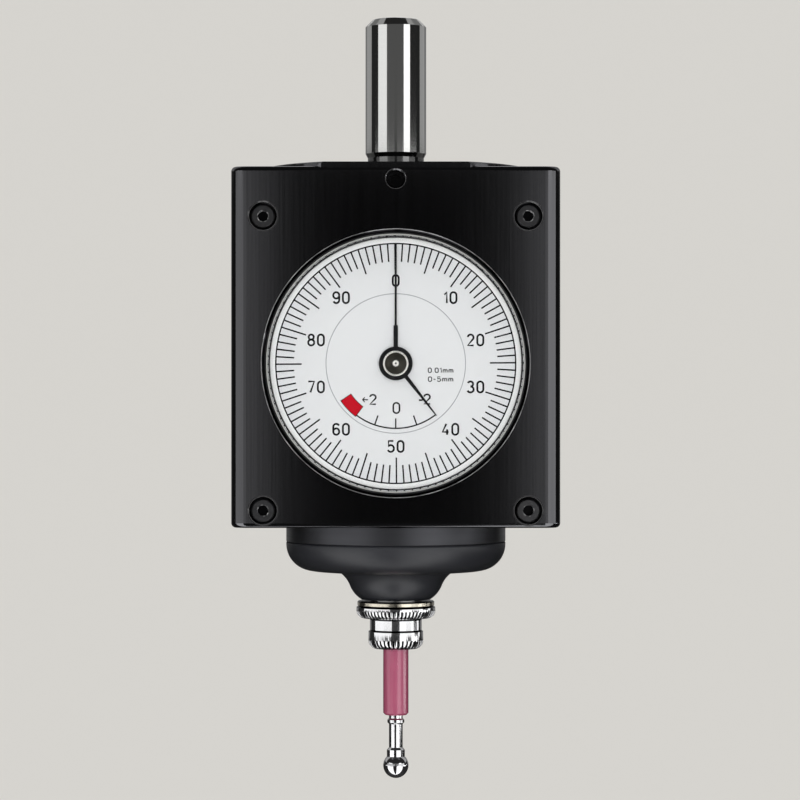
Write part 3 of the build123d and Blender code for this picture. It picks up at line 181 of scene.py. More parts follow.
@dataclass(frozen=True)
class Finish:
    """What each finish has: a name, a colour, a roughness and a fine surface."""

    name: str
    colour: Colour
    roughness: float
    metallic: float = 0.0
    speckle: float = 9000.0
    depth: float = 0.000002
    uneven: float = 0.06
    coat: float = 0.0
    specular: float = 0.5

    def material(self) -> bpy.types.Material:
        """Give the finish's material, made the first time it is asked for."""
        return bpy.data.materials.get(self.label()) or self.mix()

    def label(self) -> str:
        """Give the material's name, with a prefix that keeps it apart from other materials."""
        return f"finish_{self.name}"

    def mix(self) -> bpy.types.Material:
        """Mix an even surface with fine speckle in its colour, shine and height."""
        recipe = Recipe(self.label())
        fine = recipe.noise(recipe.place(), self.speckle, 3.0)
        cloud = recipe.noise(recipe.place(), self.speckle / 40, 2.0)
        colour = recipe.tint(cloud, scaled(self.colour, 0.94), scaled(self.colour, 1.05))
        return recipe.finish(self.shader(recipe, colour, fine))

    def shader(
        self, recipe: Recipe, colour: bpy.types.NodeSocket, fine: bpy.types.NodeSocket
    ) -> bpy.types.Node:
        """Build the surface shader.

        Args:
            recipe: The material's node tree.
            colour: The colour pattern.
            fine: A fine pattern for roughness and height.

        Returns:
            The shader node.
        """
        rough_low = max(0.02, self.roughness * (1 - self.uneven * 2))
        sockets = {
            "Base Color": colour,
            "Roughness": recipe.spread(fine, rough_low, self.roughness * (1 + self.uneven * 2)),
            "Normal": recipe.bump(fine, self.depth),
            "Metallic": self.metallic,
            "Coat Weight": self.coat,
            "Coat Roughness": 0.1,
            "Specular IOR Level": self.specular,
        }
        return recipe.node("ShaderNodeBsdfPrincipled", sockets)


@dataclass(frozen=True)
class WorkedMetal(Finish):
    """Metal with the fine lines that brushing, turning or grinding leaves."""

    grain: Grain = Grain.EVEN
    stretch: float = 0.55
    lines: float = 5000.0
    contrast: float = 0.12

    def mix(self) -> bpy.types.Material:
        """Mix the metal with lines along its grain."""
        recipe = Recipe(self.label())
        dial = self.grain is Grain.AROUND_DIAL
        own = recipe.place(dial_centre() if dial else None, dial)
        parts = recipe.node("ShaderNodeSeparateXYZ", {"Vector": own}).outputs
        if self.grain is Grain.UPRIGHT:
            sizes = {"Vector": own, "Scale": (1.0, 1.0, 0.012)}
            along = recipe.node("ShaderNodeMapping", sizes).outputs[0]
        elif self.grain is Grain.EVEN:
            along = own
        else:
            slow = recipe.sum_up("MULTIPLY", parts["X"], 0.01)
            axes = {"X": recipe.from_axis(own), "Y": slow, "Z": parts["Z"]}
            along = recipe.node("ShaderNodeCombineXYZ", axes).outputs[0]
        fine = recipe.noise(along, self.lines, 2.0)
        broad = recipe.noise(along, self.lines / 6, 3.0)
        shader = self.shader(recipe, self.colouring(recipe, broad), fine)
        if self.grain is not Grain.EVEN:
            shader.inputs["Anisotropic"].default_value = self.stretch
            shader.inputs["Anisotropic Rotation"].default_value = (
                0.0 if self.grain is Grain.UPRIGHT else 0.25
            )
            axis = (0.0, 1.0, 0.0) if dial else (0.0, 0.0, 1.0)
            own_place = recipe.node("ShaderNodeTexCoord").outputs["Object"]
            middle = dial_centre() if dial else Vector()
            arm = recipe.node("ShaderNodeVectorMath", {0: own_place, 1: middle}, operation="SUBTRACT")
            round_it = {0: axis, 1: arm.outputs[0]}
            tangent = recipe.node("ShaderNodeVectorMath", round_it, operation="CROSS_PRODUCT")
            unit = recipe.node("ShaderNodeVectorMath", {0: tangent.outputs[0]}, operation="NORMALIZE")
            recipe.tree.links.new(unit.outputs[0], shader.inputs["Tangent"])
        return recipe.finish(shader)

    def colouring(self, recipe: Recipe, broad: bpy.types.NodeSocket) -> bpy.types.NodeSocket:
        """Give the metal's colour, a little uneven along its lines."""
        dark, light = 1 - self.contrast, 1 + self.contrast
        return recipe.tint(broad, scaled(self.colour, dark), scaled(self.colour, light))


@dataclass(frozen=True)
class EdgedMetal(WorkedMetal):
    """Worked metal with painted shade between some heights, such as in a crevice: a dark colour that stands
    in for shadow and dark reflections.
    """

    bands: tuple[Point, ...] = ()
    share: float = 1.0
    soft: float = 0.00003
    painted_shade: Colour = (0.012, 0.012, 0.013)

    def colouring(self, recipe: Recipe, broad: bpy.types.NodeSocket) -> bpy.types.NodeSocket:
        """Paint shade on the metal between each pair of heights."""
        colour = super().colouring(recipe, broad)
        height = recipe.node("ShaderNodeSeparateXYZ", {"Vector": recipe.place()}).outputs["Z"]
        for low, high in self.bands:
            above = recipe.band(height, low - self.soft, low + self.soft, 0.0, self.share)
            below = recipe.band(height, high - self.soft, high + self.soft, 1.0, 0.0)
            # Painted shade: the band between the two heights takes the dark colour.
            colour = recipe.tint(recipe.sum_up("MULTIPLY", above, below), colour, self.painted_shade)
        return colour


@dataclass(frozen=True)
class KnurledMetal(EdgedMetal):
    """Bright metal with painted shade in the bottoms of a straight knurl's grooves."""

    grooves: int = 60
    top_z: float = 0.0
    satin: float = 0.08
    painted_groove_shade: Colour = (0.01, 0.01, 0.011)

    def knurl(self, recipe: Recipe) -> bpy.types.NodeSocket:
        """Give 1 where the knurl is, from its top down."""
        height = recipe.node("ShaderNodeSeparateXYZ", {"Vector": recipe.place()}).outputs["Z"]
        return recipe.band(height, self.top_z - 0.00003, self.top_z + 0.00003, 1.0, 0.0)

    def colouring(self, recipe: Recipe, broad: bpy.types.NodeSocket) -> bpy.types.NodeSocket:
        """Paint shade in the grooves up to the top of the knurl."""
        bright = super().colouring(recipe, broad)
        own = recipe.place()
        round_it = recipe.node("ShaderNodeTexGradient", {"Vector": own}, gradient_type="RADIAL")
        angle = recipe.sum_up("MULTIPLY", round_it.outputs["Fac"], TURN * self.grooves)
        # Painted shade: the bottoms of the grooves take a dark colour.
        deep = recipe.band(recipe.sum_up("COSINE", angle), -0.6, -0.15, 1.0, 0.0)
        return recipe.tint(recipe.sum_up("MULTIPLY", deep, self.knurl(recipe)), bright, self.painted_groove_shade)

    def shader(
        self, recipe: Recipe, colour: bpy.types.NodeSocket, fine: bpy.types.NodeSocket
    ) -> bpy.types.Node:
        """Build the surface shader, duller on the knurl's ridges."""
        made = super().shader(recipe, colour, fine)
        dull = recipe.sum_up("MULTIPLY_ADD", self.knurl(recipe), self.satin, self.roughness)
        recipe.tree.links.new(dull, made.inputs["Roughness"])
        return made


@dataclass(frozen=True)
class RimmedMetal(WorkedMetal):
    """Anodised metal with bright lines along the edges of its round openings, partly bare worn metal and
    partly painted highlight, and painted shade inside them.
    """

    window_r: float = 0.02562
    head_r: float = 0.00225
    sink_r: float = 0.0027
    mouth_r: float = 0.00282
    # Dark matt colour painted on the mouths of the screw holes as shade.
    matt: Colour = (0.026, 0.026, 0.028)
    hole_r: float = 0.00193
    hole_z: float = -0.0064
    bare_and_highlight: Colour = (0.4, 0.4, 0.41)
    shade: Colour = (0.01, 0.01, 0.011)

    def screws(self) -> list[Vector]:
        """Find the middles of the four cover screws."""
        low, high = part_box("cover_screws")
        across = (low.x + self.head_r, high.x - self.head_r)
        upright = (low.z + self.head_r, high.z - self.head_r)
        return [Vector((x, 0, z)) for x in across for z in upright]

    def ring(self, recipe: Recipe, centre: Vector, radius: float, wide: float) -> bpy.types.NodeSocket:
        """Give a thin ring round a centre on the front.

        Args:
            recipe: The material's node tree.
            centre: The ring's centre in metres.
            radius: Its radius in metres.
            wide: Half its width in metres.

        Returns:
            The pattern, 1 on the ring.
        """
        away = recipe.sum_up("SUBTRACT", recipe.from_axis(recipe.place(centre, True)), radius)
        return recipe.band(recipe.sum_up("ABSOLUTE", away), wide, wide * 1.7, 1.0, 0.0)

    def wear_and_highlight(self, recipe: Recipe) -> bpy.types.NodeSocket:
        """Give the bright lines round the window, the screws and the front hole, partly bare wear and
        partly painted highlight.
        """
        lines = self.ring(recipe, dial_centre(), self.window_r, 0.00006)
        rims = [(middle, self.sink_r, 0.3) for middle in self.screws()]
        for middle, radius, share in [*rims, (Vector((0, 0, self.hole_z)), self.hole_r, 0.6)]:
            edge = self.ring(recipe, middle, radius, 0.00004)
            lines = recipe.sum_up("MAXIMUM", lines, recipe.sum_up("MULTIPLY", edge, share))
        worn = recipe.spread(recipe.noise(recipe.place(), 300.0, 3.0), 0.35, 1.0)
        return recipe.sum_up("MULTIPLY", lines, worn)

    def mouths(self, recipe: Recipe) -> bpy.types.NodeSocket:
        """Give 1 on the bevelled mouths of the screw holes."""
        found = 0.0
        for middle in self.screws():
            mouth = self.ring(recipe, middle, self.mouth_r, 0.0001)
            found = recipe.sum_up("MAXIMUM", mouth, found)
        return found

    def colouring(self, recipe: Recipe, broad: bpy.types.NodeSocket) -> bpy.types.NodeSocket:
        """Paint shade on the sunk walls, the window's bore and the holes' mouths, and draw the bright
        lines.
        """
        dark = super().colouring(recipe, broad)
        sunk = [(middle, self.sink_r) for middle in self.screws()]
        for middle, radius in [*sunk, (dial_centre(), self.window_r)]:
            reach = recipe.from_axis(recipe.place(middle, True))
            inside = recipe.band(reach, radius - 0.00012, radius - 0.00005, 1.0, 0.0)
            # Painted shade on the sunk walls of the screw holes and in the window's bore.
            dark = recipe.tint(inside, dark, self.shade)
        # Painted shade: the bevelled mouths of the screw holes take a dark matt colour.
        dark = recipe.tint(self.mouths(recipe), dark, self.matt)
        # Painted highlight, partly edge wear: the bright lines take a pale colour.
        return recipe.tint(self.wear_and_highlight(recipe), dark, self.bare_and_highlight)

    def shader(
        self, recipe: Recipe, colour: bpy.types.NodeSocket, fine: bpy.types.NodeSocket
    ) -> bpy.types.Node:
        """Build the surface shader, which scatters more light on the bright lines, so that they show as
        painted highlight, and is matt on the mouths.
        """
        made = super().shader(recipe, colour, fine)
        less = recipe.sum_up("MULTIPLY_ADD", self.wear_and_highlight(recipe), -0.7, 1.0)
        less = recipe.sum_up("MINIMUM", less, recipe.sum_up("SUBTRACT", 1.0, self.mouths(recipe)))
        recipe.tree.links.new(less, made.inputs["Metallic"])
        return made


@dataclass(frozen=True)
class SocketMetal(RimmedMetal):
    """Black screws with painted shade in their sockets and painted glints, chipped by noise, along their
    rims.
    """

    socket_r: float = 0.00104
    mouth_r: float = 0.01

    def wear_and_highlight(self, recipe: Recipe) -> bpy.types.NodeSocket:
        """Give the painted glints on the rims of the sockets, chipped by noise."""
        glint_patches = recipe.spread(recipe.noise(recipe.place(), 1100.0, 2.0), -0.9, 1.4)
        rims = [self.ring(recipe, middle, self.socket_r, 0.00007) for middle in self.screws()]
        found = rims[0]
        for rim in rims[1:]:
            found = recipe.sum_up("MAXIMUM", found, rim)
        return recipe.sum_up("MAXIMUM", recipe.sum_up("MULTIPLY", found, glint_patches), 0.0)

    def colouring(self, recipe: Recipe, broad: bpy.types.NodeSocket) -> bpy.types.NodeSocket:
        """Paint shade in the sockets and draw the painted glints."""
        dark = WorkedMetal.colouring(self, recipe, broad)
        for middle in self.screws():
            reach = recipe.from_axis(recipe.place(middle, True))
            inside = recipe.band(reach, self.socket_r - 0.00006, self.socket_r, 1.0, 0.0)
            # Painted shade inside the sockets.
            dark = recipe.tint(inside, dark, self.shade)
        # Painted glints on the socket rims.
        return recipe.tint(self.wear_and_highlight(recipe), dark, self.bare_and_highlight)


@dataclass(frozen=True)
class DialPaint(Finish):
    """Dial white, paler on the border outside the scale: paler paint, raised further as painted light
    against the bezel's shadow.
    """

    border_paint_and_light: Colour = (0.95, 0.95, 0.96)
    border_r: float = 0.02305

    def mix(self) -> bpy.types.Material:
        """Mix the two whites with fine speckle."""
        recipe = Recipe(self.label())
        fine = recipe.noise(recipe.place(), self.speckle, 3.0)
        cloud = recipe.noise(recipe.place(), self.speckle / 40, 2.0)
        colour = recipe.tint(cloud, scaled(self.colour, 0.98), scaled(self.colour, 1.02))
        reach = recipe.from_axis(recipe.place(dial_centre(), True))
        # Paler border: paler paint, raised further as painted light against the bezel's shadow.
        outside = recipe.band(reach, self.border_r - 0.00005, self.border_r + 0.00005)
        return recipe.finish(self.shader(recipe, recipe.tint(outside, colour, self.border_paint_and_light), fine))


@dataclass(frozen=True)
class ClearGlass(Finish):
    """Polished glass that lets the lamps light what is behind it."""

    def mix(self) -> bpy.types.Material:
        """Mix glass for the eye with a clear pane for the lamps."""
        recipe = Recipe(self.label())
        smudge = recipe.noise(recipe.place(), 260.0, 3.0)
        sockets = {
            "Base Color": (*self.colour, 1),
            "Roughness": recipe.spread(smudge, 0.0, self.roughness),
            "IOR": 1.5,
            "Transmission Weight": 1.0,
        }
        glass = recipe.node("ShaderNodeBsdfPrincipled", sockets)
        pane = recipe.node("ShaderNodeBsdfTransparent", {"Color": (0.97, 0.98, 0.98, 1)})
        rays = recipe.node("ShaderNodeLightPath").outputs
        lamps = recipe.sum_up("MAXIMUM", rays["Is Shadow Ray"], rays["Is Diffuse Ray"])
        mixer = {0: lamps, 1: glass.outputs[0], 2: pane.outputs[0]}
        return recipe.finish(recipe.node("ShaderNodeMixShader", mixer))


@dataclass(frozen=True)
class Backdrop(Finish):
    """The studio's pale bowl: shown at its own colour, and still shaded by the object."""

    glow: float = 0.8
    strength: float = 1.0

    def mix(self) -> bpy.types.Material:
        """Mix a matt surface with its own colour for the eye and for reflections."""
        recipe = Recipe(self.label())
        rays = recipe.node("ShaderNodeLightPath").outputs
        seen = recipe.sum_up("MAXIMUM", rays["Is Camera Ray"], rays["Is Glossy Ray"])
        seen = recipe.sum_up("MAXIMUM", seen, rays["Is Transmission Ray"])
        share = recipe.sum_up("MULTIPLY", seen, self.glow)
        matt = recipe.node("ShaderNodeBsdfDiffuse", {"Color": (*self.colour, 1)})
        own = recipe.node("ShaderNodeEmission", {"Color": (*self.colour, 1), "Strength": self.strength})
        mixer = {0: share, 1: matt.outputs[0], 2: own.outputs[0]}
        return recipe.finish(recipe.node("ShaderNodeMixShader", mixer))


ANODISED = {
    "colour": (0.13, 0.13, 0.137), "roughness": 0.095, "metallic": 1.0, "grain": Grain.UPRIGHT,
    "stretch": 0.3, "lines": 3600.0, "contrast": 0.2, "depth": 0.0000014,
}
# The case's land under the shank gets painted shade: a darker band that stands in for its dark reflection.
CASE_ANODISED = EdgedMetal(
    "case_brushed", **ANODISED, bands=((-0.00396, -0.00318),), share=0.75
)
COVER_ANODISED = RimmedMetal("cover_brushed", **ANODISED)
SATIN_ANODISED = WorkedMetal(
    "satin_anodised", (0.055, 0.056, 0.062), 0.36, metallic=0.8, grain=Grain.AROUND_SHANK,
    stretch=0.4, lines=6000.0, contrast=0.15,
)
# The relief below the ground shank gets painted shade, which stands in for the dark case top that it
# reflects.
GROUND_STEEL = EdgedMetal(
    "shank_ground", (0.5, 0.5, 0.49), 0.07, metallic=1.0, grain=Grain.AROUND_SHANK,
    stretch=0.5, lines=14000.0, contrast=0.04, depth=0.0000006,
    bands=((-0.0033, -0.0001),), share=0.68,
)
PLAIN_STEEL = WorkedMetal(
    "steel_plain", (0.5, 0.5, 0.49), 0.25, metallic=1.0, grain=Grain.AROUND_SHANK,
    lines=9000.0, contrast=0.08,
)
SPRING_STEEL = WorkedMetal("steel_spring", (0.42, 0.42, 0.43), 0.3, metallic=1.0)
BRIGHT = {
    "colour": (0.66, 0.66, 0.67), "roughness": 0.08, "metallic": 1.0, "lines": 7000.0,
    "contrast": 0.04, "depth": 0.0000006,
}
BRIGHT_STEEL = WorkedMetal("steel_bright", **BRIGHT)
# The cap and the arbor stud are pale and partly matt so that the lamps light them bright: partly painted
# highlight on turned steel.
TURNED_CAP = WorkedMetal(
    "cap_turned", (0.92, 0.9, 0.86), 0.28, metallic=0.75, lines=12000.0, contrast=0.08
)
STUD_STEEL = WorkedMetal("stud_turned", (0.85, 0.83, 0.8), 0.35, metallic=0.3, contrast=0.1)
OXIDE = {"metallic": 1.0, "lines": 5000.0, "contrast": 0.3}
BLACK_OXIDE = WorkedMetal("oxide_black", (0.09, 0.09, 0.094), 0.3, **OXIDE)
# Black oxide made darker still: painted shade for the grub screw that sits down the front hole.
HOLE_SHADE_OXIDE = WorkedMetal("oxide_hole_shade", (0.02, 0.02, 0.021), 0.4, **OXIDE)
SCREW_OXIDE = SocketMetal("oxide_socket", (0.12, 0.12, 0.124), 0.34, **OXIDE)
NICKEL = {
    "colour": (0.7, 0.65, 0.54), "roughness": 0.2, "metallic": 1.0, "grain": Grain.AROUND_SHANK,
    "lines": 9000.0, "contrast": 0.06,
}
MOVEMENT_BRASS = WorkedMetal(
    "brass_movement", (0.68, 0.48, 0.2), 0.28, metallic=1.0, grain=Grain.AROUND_DIAL,
    lines=7000.0, contrast=0.1,
)
SPRING_BRONZE = WorkedMetal("bronze_spring", (0.6, 0.36, 0.16), 0.3, metallic=1.0)
BALL_STEEL = Finish("steel_ball", (0.62, 0.62, 0.63), 0.04, metallic=1.0, depth=0.0000002)
DIAL_WHITE = DialPaint(
    "dial_paint", (0.785, 0.79, 0.815), 0.5, speckle=16000.0, depth=0.0000015, specular=0.1
)
BLACK_INK = Finish("ink_black", (0.004, 0.004, 0.005), 0.45, speckle=12000.0, specular=0.1)
GREY_INK = Finish("ink_grey", (0.33, 0.34, 0.37), 0.5, speckle=12000.0, specular=0.1)
CAP_DISH = WorkedMetal(
    "cap_dish", (0.09, 0.085, 0.072), 0.3, metallic=1.0, grain=Grain.AROUND_DIAL,
    lines=14000.0, contrast=0.25,
)
RED_INK = Finish("ink_red", (0.52, 0.003, 0.014), 0.42, speckle=12000.0, specular=0.1)
POINTER_BLACK = Finish("pointer_enamel", (0.005, 0.005, 0.006), 0.35, speckle=8000.0, specular=0.2)
BOOT_RUBBER = Finish(
    "rubber_boot", (0.017, 0.018, 0.022), 0.42, speckle=5200.0, depth=0.000012, uneven=0.12
)
SEAL_RUBBER = Finish("rubber_seal", (0.008, 0.008, 0.009), 0.55, speckle=6000.0, depth=0.00001)
PINK_CERAMIC = Finish(
    "ceramic_pink", (0.4, 0.09, 0.165), 0.12, speckle=11000.0, depth=0.0000015, specular=0.6
)
CRYSTAL_GLASS = ClearGlass("glass_crystal", (1.0, 1.0, 1.0), 0.0)
GROUND_GLASS = Finish("glass_ground_edge", (0.5, 0.51, 0.5), 0.3, speckle=9000.0, depth=0.000004)
PALE_BOWL = Backdrop("bowl_pale", (0.76, 0.745, 0.71), 0.9)


def dial_centre() -> Vector:
    """Give the middle of the dial plate's front face, in metres."""
    low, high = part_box("dial_plate")
    return Vector(((low.x + high.x) / 2, low.y, (low.z + high.z) / 2))


def dress(names: tuple[str, ...], finish: Finish) -> None:
    """Give CAD nodes a finish.

    Args:
        names: The nodes.
        finish: Their finish.
    """
    for name in names:
        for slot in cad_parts[name].material_slots:
            slot.material = finish.material()
        log.info("dressed %s in %s", name, finish.name)


def bowed(start: Point, end: Point, radius: float, steps: int = 10) -> list[Point]:
    """Follow an arc between two points of a profile.

    Args:
        start: Where the arc starts.
        end: Where it ends.
        radius: Its radius; positive keeps the centre on the left.
        steps: The number of chords.

    Returns:
        The points after the start, up to the end.
    """
    first, last = Vector(start), Vector(end)
    chord = last - first
    side = math.copysign(1.0, radius)
    rise = math.sqrt(max(0.0, radius**2 - (chord.length / 2) ** 2))
    normal = Vector((-chord.y, chord.x)).normalized() * side
    centre = (first + last) / 2 + normal * rise
    sweep = 2 * math.asin(min(1.0, chord.length / 2 / abs(radius))) * side
    arm = first - centre
    points = []
    for step in range(1, steps + 1):
        points.append(tuple(centre + Matrix.Rotation(sweep * step / steps, 2) @ arm))
    return points


@dataclass
class Blank:
    """A mesh being made, in millimetres, before it is placed on the object."""

    name: str
    mesh: bmesh.types.BMesh = field(default_factory=bmesh.new)

    def turn(self, profile: list[Point], steps: int, closed: bool = True, sweep: float = TURN) -> None:
        """Turn a profile about the upright axis.

        Args:
            profile: The (radius, height) points.
            steps: The number of steps round the turn.
            closed: True to join the last point to the first.
            sweep: The angle of the turn.
        """
        verts = [self.mesh.verts.new((radius, 0, height)) for radius, height in profile]
        pairs = list(zip(verts, verts[1:]))
        if closed:
            pairs.append((verts[-1], verts[0]))
        edges = [self.mesh.edges.new(pair) for pair in pairs]
        full = abs(sweep - TURN) < 1e-9
        spun = bmesh.ops.spin(
            self.mesh, geom=verts + edges, cent=(0, 0, 0), axis=(0, 0, 1), dvec=(0, 0, 0),
            angle=sweep, steps=steps, use_merge=full, use_duplicate=False,
        )
        if not full and closed:
            last = [e for e in spun["geom_last"] if isinstance(e, bmesh.types.BMEdge)]
            bmesh.ops.holes_fill(self.mesh, edges=edges, sides=0)
            bmesh.ops.holes_fill(self.mesh, edges=last, sides=0)

    def bar(self, wide: float, deep: float, high: float, middle: Vector, angle: float = 0.0) -> list:
        """Add a bar that is then turned about the upright axis.

        Args:
            wide: Its size along X.
            deep: Its size along Y.
            high: Its size along Z.
            middle: Its middle before the turn.
            angle: The turn.

        Returns:
            The bar's vertices.
        """
        place = Matrix.Rotation(angle, 4, "Z") @ Matrix.Translation(middle)
        size = Matrix.Diagonal((wide, deep, high, 1))
        return bmesh.ops.create_cube(self.mesh, size=1.0, matrix=place @ size)["verts"]

    def piece(
        self, finish: Finish, place: Matrix | None = None, smooth: float = 35.0, closed: bool = True
    ) -> bpy.types.Object:
        """Make the object, in metres, with its place in its mesh.

        Args:
            finish: Its finish.
            place: Where it goes, in millimetres; None leaves it where it is.
            smooth: The angle in degrees under which edges are shaded smooth.
            closed: False for a skin that a modifier gives its thickness.

        Returns:
            The new object.
        """
        bm = self.mesh
        bmesh.ops.remove_doubles(bm, verts=bm.verts[:], dist=0.0005)
        bmesh.ops.transform(
            bm, matrix=Matrix.Scale(MM, 4) @ (place or Matrix.Identity(4)), verts=bm.verts[:]
        )
        bmesh.ops.recalc_face_normals(bm, faces=bm.faces[:])
        data = bpy.data.meshes.new(self.name)
        bm.to_mesh(data)
        bm.free()
        data.shade_smooth()
        data.set_sharp_from_angle(angle=math.radians(smooth))
        data.materials.append(finish.material())
        made = bpy.data.objects.new(self.name, data)
        bpy.context.scene.collection.objects.link(made)
        log.info("made %s, %d faces%s", self.name, len(data.polygons), "" if closed else ", a skin")
        return made


def oval(x: float, y: float, wide: float, high: float, start: float, end: float) -> list[Point]:
    """Follow an oval in a numeral's cell, which is 1 wide and 1 high.

    Args:
        x: The oval's centre across the cell.
        y: Its centre up the cell.
        wide: Its half width.
        high: Its half height.
        start: The angle in degrees where the stroke starts, from the right, upwards positive.
        end: The angle where it ends.

    Returns:
        The points of the stroke's middle line.
    """
    steps = max(2, round(abs(end - start) / 15))
    angles = [math.radians(start + (end - start) * step / steps) for step in range(steps + 1)]
    return [(x + wide * math.cos(angle), y + high * math.sin(angle)) for angle in angles]


GLYPHS: dict[str, tuple[float, list[list[Point]]]] = {
    "0": (1.0, [[(1.0, 0.5)] + oval(0.5, 0.72, 0.5, 0.28, 0, 180) + oval(0.5, 0.28, 0.5, 0.28, 180, 360)
                + [(1.0, 0.5)]]),
    "1": (0.4, [[(0.0, 0.76), (0.4, 1.0), (0.4, 0.0)]]),
    "2": (1.0, [oval(0.5, 0.73, 0.48, 0.27, 172, -32) + [(0.02, 0.0), (1.0, 0.0)]]),
    "3": (1.0, [oval(0.47, 0.77, 0.45, 0.23, 158, -90), oval(0.47, 0.27, 0.53, 0.27, 90, -158)]),
    "4": (1.0, [[(0.62, 1.0), (0.0, 0.26), (1.0, 0.26)], [(0.76, 0.5), (0.76, 0.0)]]),
    "5": (1.0, [[(0.92, 1.0), (0.12, 1.0), (0.08, 0.52)] + oval(0.47, 0.31, 0.53, 0.31, 130, -155)]),
    "6": (1.0, [oval(0.5, 0.72, 0.5, 0.28, 25, 180) + [(0.0, 0.3)], oval(0.5, 0.29, 0.5, 0.29, 0, 360)]),
    "7": (1.0, [[(0.0, 1.0), (1.0, 1.0), (0.36, 0.0)]]),
    "8": (1.0, [oval(0.5, 0.77, 0.43, 0.23, 0, 360), oval(0.5, 0.27, 0.5, 0.27, 0, 360)]),
    "9": (1.0, [oval(0.5, 0.28, 0.5, 0.28, 205, 360) + [(1.0, 0.7)], oval(0.5, 0.71, 0.5, 0.29, 0, 360)]),
    "-": (0.6, [[(0.0, 0.46), (0.6, 0.46)]]),
    ".": (0.05, [[(0.0, 0.0), (0.05, 0.0)]]),
    "m": (1.3, [[(0.0, 0.0), (0.0, 0.66)], oval(0.33, 0.4, 0.32, 0.26, 180, 0) + [(0.65, 0.0)],
                oval(0.98, 0.4, 0.32, 0.26, 180, 0) + [(1.3, 0.0)]]),
    "<": (0.95, [[(0.4, 0.75), (0.0, 0.5), (0.4, 0.25)], [(0.0, 0.5), (0.95, 0.5)]]),
}


@dataclass
class Case:
    """The housing: body, front cover, their screws and the seal round the crystal."""

    def dress(self) -> None:
        """Dress the housing's pieces."""
        dress(("case_body",), CASE_ANODISED)
        dress(("front_cover",), COVER_ANODISED)
        dress(("cover_screws",), SCREW_OXIDE)
        dress(("runout_screws",), HOLE_SHADE_OXIDE)
        dress(("guide_screw",), BLACK_OXIDE)
        dress(("crystal_seal",), SEAL_RUBBER)


@dataclass
class Shank:
    """The ground clamping shank with its flange and screws."""

    def dress(self) -> None:
        """Dress the shank and the flange's screws."""
        dress(("clamping_shank",), GROUND_STEEL)
        dress(("flange_screws",), BLACK_OXIDE)


